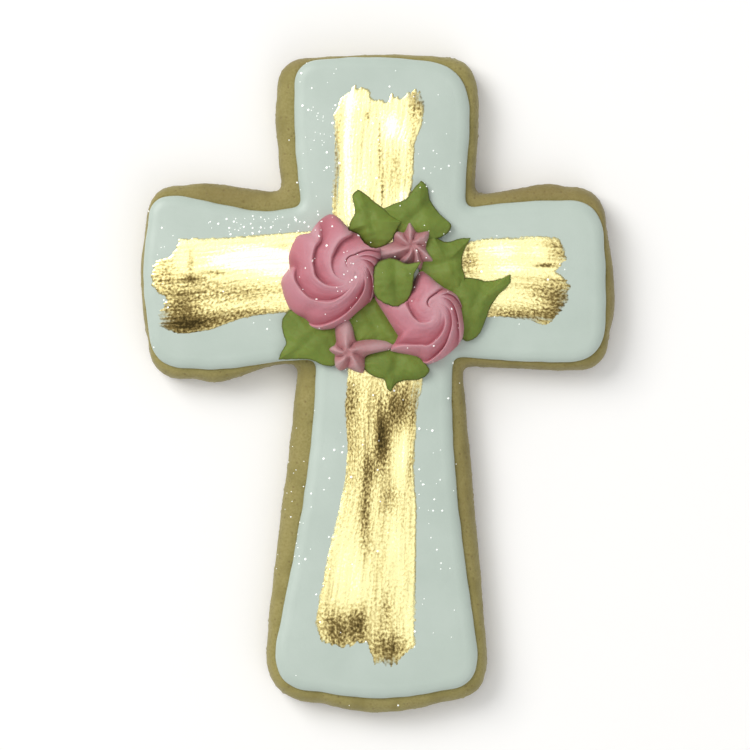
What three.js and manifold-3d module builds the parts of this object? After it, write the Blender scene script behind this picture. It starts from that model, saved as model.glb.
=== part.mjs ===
// A cross-shaped sugar cookie, iced pale mint and decorated at the crossing with two piped pink
// rosettes, two small pink drop flowers and eight piped green leaves.
// Millimetres, +Z up. The cookie lies flat on z = 0; +Y points up the short top arm, and the
// finished group is centred on the middle of its outline.
import * as THREE from "three";
import { mergeVertices } from "three/addons/utils/BufferGeometryUtils.js";
import Module from "manifold-3d";

// ---- Driving dimensions ----

const COOKIE_THICKNESS = 6.5;
const ICING_THICKNESS = 1.75; // keeps the icing's top at a height that 32-bit numbers hold exactly
const ICING_TOP = COOKIE_THICKNESS + ICING_THICKNESS;
const COOKIE_FOOT = [[0.6, 0], [0.12, 0.7], [0, 2]]; // tucked-in bottom edge: inset, height
const COOKIE_ROUNDING = [0.08, 0.3, 0.6, 1]; // shares of the shoulder at its rings
const COOKIE_SHOULDER = { least: 0.5, most: 2.4, drop: 2.6, lap: 0.1 }; // rounded top edge
const ICING_EDGE = { width: 2.2, foot: 0.3, footHeight: 0.35 }; // puffy rim, tucked-in foot
const ICING_ROUNDING = [0, 0.06, 0.22, 0.5, 1]; // shares of the rim's width at its rings
const BEND_REACH = 1.17; // reach of a corner's curve along its edges, in corner radii
const CUBIC_BULGE = 0.75; // how far a cubic curve follows its two middle control points
const OUTLINE_STEP = 3.2; // spacing of the points along the cross's edges
const BEND_STEPS = 5; // points round each of its corners
const GAP = 0.3; // air left between two decorations
const COLUMN_HEIGHT = 9; // of the cutting columns over the decorations, above the tallest of them

// ---- The cross ----

// Corners of the cross, counterclockwise from the top arm's left corner: place, corner radius,
// and how far the edge that follows bows outwards in its first and in its second half.
const COOKIE_CORNERS = [
  { x: -17.1, y: 54.5, radius: 5.2, bow: [0.8, 0.2] },
  { x: -15.9, y: 31.9, radius: 1.2, bow: [0.0, 1.1] },
  { x: -38.7, y: 33.4, radius: 5.4, bow: [1.0, 1.0] },
  { x: -38.5, y: -0.4, radius: 6.6, bow: [2.6, -1.1] },
  { x: -13.2, y: 3.2, radius: 1.4, bow: [-0.3, 0.4] },
  { x: -19.6, y: -54.1, radius: 8.8, bow: [1.8, 1.7] },
  { x: 19.1, y: -53.5, radius: 6.6, bow: [0.2, -0.1] },
  { x: 14.3, y: 2.7, radius: 1.0, bow: [0.0, 0.3] },
  { x: 39.1, y: 1.8, radius: 5.2, bow: [1.7, 0.6] },
  { x: 38.3, y: 33.3, radius: 5.8, bow: [1.5, -0.4] },
  { x: 16.4, y: 31.5, radius: 1.0, bow: [0.0, 0.5] },
  { x: 17.1, y: 54.7, radius: 5.8, bow: [0.6, 0.1] },
];
const ICING_CORNERS = [
  { x: -14.1, y: 54.1, radius: 4.2, bow: [0.4, 0.4] },
  { x: -12.7, y: 29.2, radius: 1.0, bow: [-2.1, 0.2] },
  { x: -38.2, y: 31.6, radius: 3.6, bow: [0.9, 0.9] },
  { x: -38.3, y: 1.8, radius: 6.2, bow: [1.1, -0.5] },
  { x: -10.1, y: 3.8, radius: 1.0, bow: [-1.5, -0.7] },
  { x: -18.1, y: -52.0, radius: 7.2, bow: [1.2, 1.2] },
  { x: 17.4, y: -51.6, radius: 5.6, bow: [-0.6, -1.6] },
  { x: 12.6, y: 4.2, radius: 1.0, bow: [0.1, 0.2] },
  { x: 38.4, y: 2.9, radius: 6.4, bow: [0.2, 0.2] },
  { x: 37.9, y: 31.0, radius: 6.0, bow: [0.3, 0.3] },
  { x: 14.8, y: 29.2, radius: 1.0, bow: [-0.3, 0.3] },
  { x: 15.9, y: 53.9, radius: 8.0, bow: [0.5, 0.4] },
];

// ---- Flowers ----

// A piped swirl: rings run from the rim, round its centre, in to the peak, which is off centre.
// `rim` is its outline, as angles (degrees) and radii joined by straight lines. Each groove has its
// angle at every one of GROOVE_SHARES of the radius, and fades out near the peak at share `fade`.
const ROSETTES = [
  {
    name: "rosette_left",
    centre: [-7.9, 18.4],
    peak: [-3.7, 18.4],
    height: 5.6,
    depth: 1.25,
    crest: 0.11,
    pit: 0,
    rim: [
      [62, 7.8], [73, 8.4], [80, 9.2], [88, 9.8], [94, 9.5], [100, 8.9], [110, 8], [116, 7.2],
      [124, 7.7], [132, 8.2], [147, 7.7], [160, 7.4], [175, 6.7], [183, 7.7], [191, 8.4],
      [208, 8.7], [223, 9.2], [232, 9.3], [241, 9], [251, 9.9], [260, 10], [273, 9.6], [287, 9.1],
      [303, 8.4], [324, 8.5], [339, 8.4], [357, 8.1], [369, 8.5], [379, 9.4], [389, 9.6], [399, 9],
      [408, 8.2],
    ],
    grooves: [
      { angles: [20, 25, 35, 45, 62, 108], fade: 0.1 },
      { angles: [59, 63, 74, 94, 137, 235], fade: 0.2 },
      { angles: [102, 106, 124, 186, 232, 265], fade: 0.24 },
      { angles: [173, 177, 229, 257, 277, 310], fade: 0.34 },
      { angles: [241, 278, 309, 330, 350, 388], fade: 0.4 },
      { angles: [319, 337, 352, 366, 385, 422], fade: 0.45 },
      { angles: [360, 365, 374, 384, 402, 440], fade: 0.35 },
      { angles: [372, 377, 385, 396, 411, 450], fade: 0.3 },
    ],
  },
  {
    name: "rosette_right",
    centre: [8, 10.7],
    peak: [9.3, 12.3],
    height: 5.2,
    depth: 1.15,
    crest: 0.11,
    pit: 0,
    rim: [
      [60, 6], [74, 6.4], [84, 7.2], [95, 8.2], [104, 6.8], [118, 5.4], [132, 5.2], [146, 7.2],
      [155, 9.8], [160, 9], [180, 6.5], [200, 5.7], [217, 5.7], [221, 8.4], [228, 7.7],
      [249, 6.8], [261, 6.8], [266, 7.4], [272, 7.9], [283, 7.6], [294, 7.4], [307, 7.2],
      [320, 7.2], [333, 7.2], [348, 6.8], [363, 6.5], [380, 6.6], [394, 6.7], [406, 6.3],
    ],
    grooves: [
      { angles: [57, 59, 63, 69, 83, 114], fade: 0.02 },
      { angles: [122, 128, 139, 154, 218, 285], fade: 0.2 },
      { angles: [218, 227, 274, 312, 343, 380], fade: 0.34 },
      { angles: [262, 297, 321, 366, 395, 425], fade: 0.42 },
      { angles: [318, 338, 386, 410, 420, 445], fade: 0.5 },
      { angles: [368, 402, 411, 418, 430, 460], fade: 0.55 },
    ],
  },
];

// The grooves between a drop flower's arms are given at the rim, and all turn alike inwards.
const DROP_FLOWERS = [
  {
    name: "star_top",
    centre: [5.9, 22.8],
    height: 3.3,
    depth: 0.85,
    crest: 0.45,
    pit: 0.7,
    twist: 24,
    between: [74, 123, 168, 228, 274, 303, 352],
    rim: [
      [74, 2.4], [86, 3.1], [97, 4.3], [106, 3.4], [114, 2.8], [123, 2.6], [135, 3.4], [146, 4],
      [157, 3.5], [168, 3.3], [176, 4], [182, 6], [187, 8], [198, 8.4], [207, 7.2], [215, 4.8],
      [228, 3.6], [243, 3.5], [258, 3.4], [270, 3], [281, 3.6], [288, 4.6], [296, 4], [306, 3.6],
      [318, 4.4], [325, 4.9], [331, 3.5], [343, 2.5], [365, 2.3], [384, 3], [401, 4.2], [410, 3.4],
      [422, 2.5],
    ],
  },
  {
    name: "star_bottom",
    centre: [-4.8, 4.9],
    height: 3.6,
    depth: 1,
    crest: 0.45,
    pit: 0.6,
    twist: 26,
    between: [55, 140, 194, 266, 341],
    rim: [
      [55, 2.3], [68, 2.9], [80, 4.6], [90, 6.2], [101, 6.6], [112, 6.2], [124, 4.2], [137, 2.9],
      [151, 2.6], [162, 3.1], [171, 3.5], [180, 2.9], [189, 2.2], [206, 2.6], [226, 3.2],
      [243, 3.4], [255, 3], [266, 2.5], [287, 3.2], [305, 4.3], [322, 3.7], [340, 3], [349, 3],
      [358, 4.1], [363, 6.4], [366, 9.2], [376, 7.2], [386, 5.5], [399, 3.8],
    ],
  },
];
const GROOVE_SHARES = [1, 0.84, 0.68, 0.52, 0.36, 0.2];
const GROOVE_STEEPNESS = 0.55; // deepest groove, as a share of its ridge's width
const GROOVE_FADE = [-0.03, 0.22]; // where a groove starts and is whole, past its fade
const DROP_FADE = 0.1;
const TWIST_EASE = 1.6; // a drop flower's arms turn more towards its middle
const RIM_SOFTENING = [-3, -1, 1, 3]; // degrees over which the rim's corners are rounded
const FLOWER_SIDE = 3; // exponent of the dome's profile: higher gives steeper sides
const FLOWER_PROFILE = [0.14, 0.26, 0.37, 0.48, 0.59, 0.7, 0.8, 0.88, 0.945, 0.985, 1];
const STAR_PROFILE = [0.18, 0.38, 0.58, 0.77, 0.92, 1];
const ROSETTE_STEPS = [0, 0.05, 0.11, 0.22, 0.34, 0.46, 0.58, 0.7, 0.85]; // places across each ridge
const STAR_STEPS = [0, 0.2, 0.45, 0.65, 0.82];
const PIT_REACH = 0.2; // of the hollow in a drop flower's middle, as a share of its radius
const RIDGE = { rise: 0.8, fall: 1.4, softness: 0.45 }; // form of its flank and of its slope
const FLOWER_HEM = 0.15; // height of a flower's side where its rim meets the icing

// ---- Leaves ----

// A leaf is a thin sheet that stands on its middle. Its hub rises `lift` above the icing and the
// underside of its rim `rim`; the vein is a furrow through the hub along the angle `vein`
// (degrees), and the rim waves. A leaf that `lapsOver` lies on the flowers next to it; the others
// end under them.
const LEAF_THICKNESS = 0.55; // at the rim
const LEAF_FOOT = [0.3, 1]; // shares of the radius between which the underside rises
const LEAF_PROFILE = [0.3, 0.62, 0.86, 1];
const LEAF_CURVE_STEPS = 2; // points on each curve between two corners of the outline
const POINTED_TURN = [45, 100]; // a corner that turns more is rounded less, then hardly at all
const POINTED_SHARE = 0.9; // of the rounding, that the sharpest corners lose
const VEIN = { depth: 0.6, width: 0.9, fade: 0.6 };
const WAVE = { height: 0.25, count: 2 }; // of the rim, all round
const LEAVES = [
  {
    name: "leaf_centre",
    lapsOver: true,
    hub: [3.2, 16.6],
    lift: 4.8,
    rim: 3.6,
    vein: 95,
    outline: [
      [-0.2, 19.4], [1.3, 20.4], [2.8, 20.5], [4.8, 19.7], [7.3, 20], [6.1, 17.9], [5.8, 15.6],
      [4.9, 13.6], [3.2, 12.7], [1.3, 13.2], [-0.3, 14.6], [-0.5, 17],
    ],
  },
  {
    name: "leaf_top_left",
    lapsOver: true,
    hub: [-0.9, 26.6],
    lift: 3,
    rim: 0.9,
    vein: 102,
    outline: [
      [-4, 31.2], [-3.1, 32], [-1.5, 31], [-0.2, 29.8], [1.2, 28.8], [2.5, 27.6], [4.1, 26.8],
      [3.1, 25.2], [2.3, 23.7], [0, 22.4], [-2, 23.2], [-3, 24.7], [-4.6, 25.4], [-4.4, 26.7],
      [-3.6, 28.2],
    ],
  },
  {
    name: "leaf_top_right",
    hub: [6.9, 28.2],
    lift: 2.3,
    rim: 0.6,
    vein: 40,
    outline: [
      [7.4, 33.5], [8.3, 32.7], [8.8, 30.4], [10.3, 28.2], [12.3, 26.3], [12.1, 25.4], [10.2, 24.1],
      [7.4, 24], [5, 24.6], [2.2, 25.2], [0.9, 28.8], [2.9, 29.7], [5, 30.6], [6, 32],
    ],
  },
  {
    name: "leaf_right_upper",
    hub: [11.6, 19.9],
    lift: 2.4,
    rim: 0.6,
    vein: 15,
    outline: [
      [9.2, 24.8], [10.7, 23.6], [11.9, 23.3], [13.8, 23.9], [15.6, 24], [14.4, 21.7], [14.1, 19.7],
      [14.6, 17.6], [14.4, 14.4], [11.6, 14.6], [9.2, 15.8], [7.2, 17.2], [7.2, 19.3], [7.2, 21.7],
      [7.9, 23.2],
    ],
  },
  {
    name: "leaf_right_lower",
    hub: [16.6, 13.4],
    lift: 2.5,
    rim: 0.6,
    vein: 70,
    outline: [
      [13.4, 17.4], [16.2, 17.2], [18.2, 16.8], [20.3, 17.1], [22.2, 17.9], [22.2, 16.6],
      [20.3, 14.6], [19, 12.8], [18.2, 10.7], [17.2, 8.3], [16.2, 7.3], [15, 6.9], [13.4, 8.2],
      [12.9, 12.6], [12.6, 15],
    ],
  },
  {
    name: "leaf_lower_centre",
    hub: [-0.4, 9.6],
    lift: 2.4,
    rim: 0.8,
    vein: 120,
    outline: [
      [-0.2, 14.3], [2.2, 10.5], [4.2, 7.2], [3.8, 5.9], [1.6, 6.2], [-0.4, 6.6], [-3.9, 6],
      [-4.4, 8.9], [-5.2, 10.8], [-2.4, 12.8],
    ],
  },
  {
    name: "leaf_bottom",
    hub: [3, 2.3],
    lift: 2.2,
    rim: 0.6,
    vein: 75,
    outline: [
      [-2.6, 3.4], [-0.8, 5], [1.1, 5.9], [3.7, 5.6], [6, 4.9], [7.2, 3.9], [8.6, 2.2],
      [8.3, 1.2], [6.6, 0.4], [4.5, 0.4], [3.2, -0.2], [2.3, -1.5], [1.8, -1.1], [1.3, 0.4],
      [-0.4, 1], [-1.8, 1.9],
    ],
  },
  {
    name: "leaf_left_bottom",
    hub: [-11.4, 6.9],
    lift: 2.2,
    rim: 0.6,
    vein: 40,
    outline: [
      [-14.4, 12], [-11, 11.2], [-7.5, 9.8], [-6.2, 8.2], [-6, 4.4], [-7.1, 2.9], [-8.7, 2.8],
      [-11.1, 3.8], [-13.5, 3.9], [-16.4, 3.8], [-16, 4.9], [-15.1, 6.6], [-15.7, 8.4],
      [-15.7, 10.4],
    ],
  },
];

// ---- Materials ----

const material = (color, roughness) =>
  new THREE.MeshStandardMaterial({ color, roughness, metalness: 0 });
const BAKED = material(0xa3975f, 0.85);
const ICING = material(0xc5d4cb, 0.45);
const PINK = material(0xc48590, 0.6);
const GREEN = material(0x76883f, 0.6);

// ---- Shared geometry ----

const degrees = (angle) => (angle * Math.PI) / 180;
const mix = (from, to, share) => from + (to - from) * share;

// A closed outline with rounded corners and bowed edges.
function crossOutline(corners) {
  const bowed = new THREE.Path();
  corners.forEach((corner, i) => {
    const before = corners.at(i - 1);
    const after = corners[(i + 1) % corners.length];
    const here = new THREE.Vector2(corner.x, corner.y);
    const towards = (other) => new THREE.Vector2(other.x, other.y).sub(here).normalize();
    const reach = BEND_REACH * corner.radius;
    const start = here.clone().addScaledVector(towards(before), reach);
    const end = here.clone().addScaledVector(towards(after), reach);
    if (i === 0) bowed.moveTo(start.x, start.y);
    bowed.quadraticCurveTo(corner.x, corner.y, end.x, end.y);
    const next = new THREE.Vector2(after.x, after.y);
    const along = next.clone().sub(here).normalize();
    const outward = new THREE.Vector2(along.y, -along.x);
    const edgeEnd = next.clone().addScaledVector(along, -BEND_REACH * after.radius);
    const third = (share, bow) => end.clone().lerp(edgeEnd, share).addScaledVector(outward, bow);
    const [first, second] = corner.bow.map((bow) => bow / CUBIC_BULGE);
    const near = third(1 / 3, first);
    const far = third(2 / 3, second);
    bowed.bezierCurveTo(near.x, near.y, far.x, far.y, edgeEnd.x, edgeEnd.y);
  });
  return bowed.curves.flatMap((curve, i) => {
    const isBend = i % 2 === 0;
    const steps = isBend ? BEND_STEPS : Math.round(curve.getLength() / OUTLINE_STEP);
    return curve.getPoints(steps).slice(0, -1);
  });
}

// The outward normal at each point of a counterclockwise outline.
function outlineNormals(points) {
  return points.map((_, i) => {
    const before = points.at(i - 1);
    const after = points[(i + 1) % points.length];
    return new THREE.Vector2(after.y - before.y, before.x - after.x).normalize();
  });
}

// Side walls between rings of equal point counts, lowest first.
function walls(rings) {
  const count = rings[0].length;
  return rings.slice(1).flatMap((_, ring) =>
    rings[0].flatMap((_, i) => {
      const low = ring * count + i;
      const next = ring * count + ((i + 1) % count);
      return [
        [low, next, next + count],
        [low, next + count, low + count],
      ];
    }),
  );
}

// A flat face over one ring, whose points start at `first`.
function cap(ring, first, facesUp) {
  const flat = ring.map((point) => new THREE.Vector2(point.x, point.y));
  return THREE.ShapeUtils.triangulateShape(flat, []).map(([a, b, c]) =>
    (facesUp ? [a, b, c] : [c, b, a]).map((corner) => first + corner),
  );
}

// A closed solid with a flat bottom and top.
function solidFromRings(rings) {
  const last = (rings.length - 1) * rings[0].length;
  const triangles = [...walls(rings), ...cap(rings[0], 0, false), ...cap(rings.at(-1), last, true)];
  return indexed(rings.flat(), triangles);
}

// A closed solid with a flat bottom whose last ring closes on one top point.
function hubbedSolid(rings, top) {
  const count = rings[0].length;
  const last = (rings.length - 1) * count;
  const hub = rings.length * count;
  const crown = rings[0].map((_, i) => [last + i, last + ((i + 1) % count), hub]);
  const triangles = [...walls(rings), ...cap(rings[0], 0, false), ...crown];
  return indexed([...rings.flat(), top], triangles);
}

function indexed(vertices, triangles) {
  const geometry = new THREE.BufferGeometry().setFromPoints(vertices);
  return geometry.setIndex(triangles.flat());
}

function mesh(name, geometry, finish) {
  geometry.computeVertexNormals();
  const made = new THREE.Mesh(geometry, finish);
  made.name = name;
  return made;
}

// ---- Cookie and icing ----

const cookieOutline = crossOutline(COOKIE_CORNERS);
const cookieNormals = outlineNormals(cookieOutline);
const icingOutline = crossOutline(ICING_CORNERS);
const icingNormals = outlineNormals(icingOutline);

// Moves an outline in by a distance that may differ from point to point.
const inset = (points, normals, distance, z) =>
  points.map((point, i) => {
    const moved = point.clone().addScaledVector(normals[i], -distance(i));
    return new THREE.Vector3(moved.x, moved.y, z);
  });

// The cookie's top edge is rounded as far in as the icing leaves it bare.
function cookie() {
  const { least, most, drop, lap } = COOKIE_SHOULDER;
  const bare = cookieOutline.map((point) =>
    Math.min(...icingOutline.map((iced) => iced.distanceTo(point))),
  );
  const shoulder = bare.map((width) => THREE.MathUtils.clamp(width - lap, least, most));
  const ring = (share, z) => inset(cookieOutline, cookieNormals, (i) => share * shoulder[i], z);
  const foot = COOKIE_FOOT.map(([tuck, z]) => inset(cookieOutline, cookieNormals, () => tuck, z));
  const round = COOKIE_ROUNDING.map((share) =>
    ring(share, COOKIE_THICKNESS - drop * (1 - Math.sqrt(1 - (1 - share) ** 2))),
  );
  return solidFromRings([...foot, ...round]);
}

// The icing has set with a puffy rim that falls to the cookie all round.
function icing() {
  const { width, foot, footHeight } = ICING_EDGE;
  const rim = ICING_ROUNDING.map((share) => {
    const z = COOKIE_THICKNESS + mix(footHeight, ICING_THICKNESS, Math.sqrt(1 - (1 - share) ** 2));
    return inset(icingOutline, icingNormals, () => share * width, z);
  });
  return solidFromRings([
    inset(icingOutline, icingNormals, () => foot, COOKIE_THICKNESS),
    ...rim,
  ]);
}

// ---- Flowers ----

const smooth = THREE.MathUtils.smoothstep;
const sine = (angle) => Math.sin(degrees(angle));

// Radius of an outline of straight edges in a direction.
function rimRadius(rim, direction) {
  const start = rim[0][0];
  const angle = THREE.MathUtils.euclideanModulo(direction - start, 360) + start;
  const closed = [...rim, [start + 360, rim[0][1]]];
  const next = closed.findIndex(([corner], i) => i > 0 && angle <= corner);
  const [fromAngle, fromRadius] = closed[next - 1];
  const [toAngle, toRadius] = closed[next];
  const turned = fromRadius * sine(angle - fromAngle) + toRadius * sine(toAngle - angle);
  return (fromRadius * toRadius * sine(toAngle - fromAngle)) / turned;
}

// The same radius with the outline's corners rounded.
function softRadius(rim, angle) {
  const radii = RIM_SOFTENING.map((turn) => rimRadius(rim, angle + turn));
  return radii.reduce((sum, radius) => sum + radius) / radii.length;
}

// Where a groove runs at a share of the radius, through its given angles.
function grooveAngle({ angles }, share) {
  const step = (1 - share) / (GROOVE_SHARES[0] - GROOVE_SHARES[1]);
  const k = Math.min(Math.floor(step), angles.length - 2);
  return mix(angles[k], angles[k + 1], step - k);
}

// Height across one ridge: 0 in the groove, a steep rise to the crest, then a hollow fall.
function ridge(across, crest) {
  if (across < crest) return Math.sin(((Math.PI / 2) * across) / crest) ** RIDGE.rise;
  const left = (1 - across) / (1 - crest);
  return mix(left ** RIDGE.fall, smooth(left, 0, 1), RIDGE.softness);
}

// The grooves of a flower in turn, closed by the first one a full turn on.
function grooveLoop(grooves) {
  const [first] = grooves;
  return [...grooves, { ...first, angles: first.angles.map((angle) => angle + 360) }];
}

// A swirl or drop flower standing on the icing, with `steps` as the places across each ridge.
function flower({ centre, peak, height, depth, crest, pit, rim, grooves }, profile, steps) {
  const loop = grooveLoop(grooves);
  const places = grooves.flatMap((_, k) => steps.map((across) => ({ k, across })));
  const mean = rim.reduce((sum, [, radius]) => sum + radius, 0) / rim.length;
  const ringAt = (share, z) =>
    places.map(({ k, across }) => {
      const pair = [loop[k], loop[k + 1]];
      const [before, after] = pair.map((groove) => grooveAngle(groove, share));
      const turned = degrees(mix(before, after, across));
      const radius = softRadius(rim, mix(before, after, across));
      const reach = share * mix(mean, radius, share ** 2);
      const dome = height * (1 - share ** FLOWER_SIDE) ** (1 / FLOWER_SIDE);
      const [fadeIn, whole] = pair.map(({ fade }) =>
        smooth(share, fade + GROOVE_FADE[0], fade + GROOVE_FADE[1]),
      );
      const sunk = (1 - ridge(across, crest)) * mix(fadeIn, whole, across);
      const width = degrees(after - before) * reach;
      const deep = Math.min(depth, GROOVE_STEEPNESS * width) * sunk * Math.sqrt(dome / height);
      const hollow = pit * Math.exp(-((share / PIT_REACH) ** 2));
      return new THREE.Vector3(
        mix(peak[0], centre[0], share) + reach * Math.cos(turned),
        mix(peak[1], centre[1], share) + reach * Math.sin(turned),
        z ?? ICING_TOP + Math.max(FLOWER_HEM, dome - deep - hollow),
      );
    });
  const rings = [ringAt(1, ICING_TOP), ...profile.toReversed().map((share) => ringAt(share))];
  return hubbedSolid(rings, new THREE.Vector3(...peak, ICING_TOP + height - pit));
}

// Its outline on the icing.
function flowerFootprint({ centre, rim, grooves }, steps) {
  const loop = grooveLoop(grooves);
  return grooves.flatMap((_, k) =>
    steps.map((across) => {
      const angle = mix(loop[k].angles[0], loop[k + 1].angles[0], across);
      const away = new THREE.Vector2(softRadius(rim, angle), 0);
      return away.rotateAround(new THREE.Vector2(), degrees(angle)).add(new THREE.Vector2(...centre));
    }),
  );
}

// A drop flower has its peak in its middle, and grooves that turn alike.
function withGrooves(spec) {
  const grooves = spec.between.map((rimAngle) => ({
    angles: GROOVE_SHARES.map((share) => rimAngle + spec.twist * (1 - share) ** TWIST_EASE),
    fade: DROP_FADE,
  }));
  return { ...spec, peak: spec.centre, grooves };
}

// ---- Leaves ----

// A smooth closed outline through a leaf's corners, pointed where it turns sharply.
function leafFootprint({ outline }) {
  const corners = outline.map(([x, y]) => new THREE.Vector2(x, y));
  const steps = corners.map((here, i) => corners[(i + 1) % corners.length].clone().sub(here));
  const tangents = steps.map((ahead, i) => {
    const back = steps.at(i - 1);
    const turn = THREE.MathUtils.radToDeg(back.angleTo(ahead));
    const roundness = 1 - POINTED_SHARE * smooth(turn, ...POINTED_TURN);
    const [d0, d1] = [Math.sqrt(back.length()), Math.sqrt(ahead.length())];
    return new THREE.Vector2()
      .addScaledVector(back, 1 / d0 - 1 / (d0 + d1))
      .addScaledVector(ahead, 1 / d1 - 1 / (d0 + d1))
      .multiplyScalar(roundness);
  });
  const points = corners.flatMap((here, i) => {
    const next = (i + 1) % corners.length;
    const reach = Math.sqrt(steps[i].length()) / 3;
    const leave = here.clone().addScaledVector(tangents[i], reach);
    const arrive = corners[next].clone().addScaledVector(tangents[next], -reach);
    const curve = new THREE.CubicBezierCurve(here, leave, arrive, corners[next]);
    return curve.getPoints(LEAF_CURVE_STEPS).slice(0, -1);
  });
  return THREE.ShapeUtils.area(points) < 0 ? points.reverse() : points;
}

// A leaf as a thin wavy sheet, its two faces split into triangles alike.
function leaf(spec) {
  const hub = new THREE.Vector2(...spec.hub);
  const points = leafFootprint(spec);
  const count = points.length;
  const acrossVein = new THREE.Vector2(0, 1).rotateAround(new THREE.Vector2(), degrees(spec.vein));
  const place = (share, i) => {
    const away = points[i].clone().sub(hub).multiplyScalar(share);
    const off = away.dot(acrossVein);
    const furrow = VEIN.depth * Math.exp(-((off / VEIN.width) ** 2)) * (1 - VEIN.fade * share);
    const wave = WAVE.height * share ** 2 * Math.sin(WAVE.count * 2 * Math.PI * (i / count));
    const rise = mix(spec.lift, spec.rim + LEAF_THICKNESS, share ** 2) - furrow + wave;
    const upper = ICING_TOP + Math.max(rise, LEAF_THICKNESS);
    const lower = mix(ICING_TOP, upper - LEAF_THICKNESS, smooth(share, ...LEAF_FOOT));
    const spot = hub.clone().add(away);
    return [new THREE.Vector3(spot.x, spot.y, upper), new THREE.Vector3(spot.x, spot.y, lower)];
  };
  const middle = place(0, 0);
  const rings = LEAF_PROFILE.map((share) => points.map((_, i) => place(share, i)));
  const face = (side) => [middle[side], ...rings.flatMap((ring) => ring.map((pair) => pair[side]))];
  const vertices = [...face(0), ...face(1)];
  const under = vertices.length / 2;
  const at = (ring, i) => 1 + ring * count + (i % count);
  const sheet = points.flatMap((_, i) => [
    [0, at(0, i), at(0, i + 1)],
    ...rings.slice(1).flatMap((_, ring) => [
      [at(ring, i), at(ring + 1, i), at(ring + 1, i + 1)],
      [at(ring, i), at(ring + 1, i + 1), at(ring, i + 1)],
    ]),
  ]);
  const lowerSheet = sheet.map(([a, b, c]) => [c + under, b + under, a + under]);
  const edge = points.flatMap((_, i) => {
    const here = at(rings.length - 1, i);
    const next = at(rings.length - 1, i + 1);
    return [
      [here, here + under, next + under],
      [here, next + under, next],
    ];
  });
  return indexed(vertices, [...sheet, ...lowerSheet, ...edge]);
}

// ---- Cutting neighbours clear of each other ----

const wasm = await Module();
wasm.setup();

function toManifold(geometry) {
  const bare = geometry.clone();
  bare.deleteAttribute("normal");
  bare.deleteAttribute("uv");
  const merged = mergeVertices(bare, 1e-4);
  return new wasm.Manifold(
    new wasm.Mesh({
      numProp: 3,
      vertProperties: new Float32Array(merged.attributes.position.array),
      triVerts: new Uint32Array(merged.index.array),
    }),
  );
}

// An upright column over a decoration's footprint, wider than it by the gap.
function column(footprint) {
  const normals = outlineNormals(footprint);
  const foot = inset(footprint, normals, () => -GAP, ICING_TOP - GAP);
  const head = inset(footprint, normals, () => -GAP, ICING_TOP + COLUMN_HEIGHT);
  return toManifold(solidFromRings([foot, head]));
}

// The largest piece that is left of a geometry once its neighbours' columns are cut away.
function cutClear(geometry, columns) {
  let solid = toManifold(geometry);
  for (const each of columns) solid = solid.subtract(each);
  const largest = solid.decompose().sort((a, b) => b.volume() - a.volume())[0];
  const { vertProperties, triVerts } = largest.getMesh();
  const cut = new THREE.BufferGeometry();
  cut.setAttribute("position", new THREE.BufferAttribute(new Float32Array(vertProperties), 3));
  cut.setIndex(new THREE.BufferAttribute(new Uint32Array(triVerts), 1));
  return cut;
}

// ---- Assembly ----

const sugarCookie = new THREE.Group();
sugarCookie.add(mesh("cookie", cookie(), BAKED));
sugarCookie.add(mesh("icing", icing(), ICING));

const asFlower = (profile, steps) => (spec) => ({
  name: spec.name,
  finish: PINK,
  geometry: flower(spec, profile, steps),
  footprint: flowerFootprint(spec, steps),
});
const asLeaf = (spec) => ({
  name: spec.name,
  finish: GREEN,
  geometry: leaf(spec),
  footprint: leafFootprint(spec),
});

// From the decoration on top to the lowest: each is cut clear of all before it.
const decorations = [
  ...LEAVES.filter((spec) => spec.lapsOver).map(asLeaf),
  ...ROSETTES.map(asFlower(FLOWER_PROFILE, ROSETTE_STEPS)),
  ...DROP_FLOWERS.map(withGrooves).map(asFlower(STAR_PROFILE, STAR_STEPS)),
  ...LEAVES.filter((spec) => !spec.lapsOver).map(asLeaf),
];
const columns = [];
for (const { name, finish, geometry, footprint } of decorations) {
  sugarCookie.add(mesh(name, cutClear(geometry, columns), finish));
  columns.push(column(footprint));
}

const middle = new THREE.Box3().setFromObject(sugarCookie).getCenter(new THREE.Vector3());
sugarCookie.position.set(-middle.x, -middle.y, 0);

export default sugarCookie;
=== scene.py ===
# A cross-shaped sugar cookie: baked dough, a sheet of pale mint icing, brushed gold paint, piped
# pink flowers with green leaves over the crossing, and loose glitter.
# Plan sizes are in millimetres in the drawing's own coordinates, as in the CAD part.
import math
import random

import bmesh
import bpy
from mathutils import Matrix, Vector, noise
from mathutils.bvhtree import BVHTree
from mathutils.geometry import interpolate_bezier
from mathutils.kdtree import KDTree


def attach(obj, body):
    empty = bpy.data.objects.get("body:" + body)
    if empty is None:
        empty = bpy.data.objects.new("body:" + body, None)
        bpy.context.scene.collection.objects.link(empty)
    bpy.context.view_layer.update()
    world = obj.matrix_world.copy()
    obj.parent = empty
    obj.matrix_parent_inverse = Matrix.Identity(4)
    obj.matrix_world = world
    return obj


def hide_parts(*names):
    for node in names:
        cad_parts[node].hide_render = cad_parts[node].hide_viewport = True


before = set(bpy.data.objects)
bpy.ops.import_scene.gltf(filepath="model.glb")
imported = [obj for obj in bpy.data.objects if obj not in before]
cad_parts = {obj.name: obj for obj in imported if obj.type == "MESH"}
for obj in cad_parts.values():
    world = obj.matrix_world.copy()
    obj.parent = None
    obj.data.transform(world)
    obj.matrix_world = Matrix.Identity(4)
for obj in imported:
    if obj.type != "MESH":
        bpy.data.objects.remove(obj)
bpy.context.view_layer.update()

# ---- Baked cookie ----
# Rolled dough, cut out as a cross and baked: a dry tan crumb with fine pores, rounded at its top
# edge, browner at the foot and underneath, and flat where it lay on the tray. Its colour also
# holds painted shade: darker pores, and darker spots on the band along its shaded sides and corners.

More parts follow.
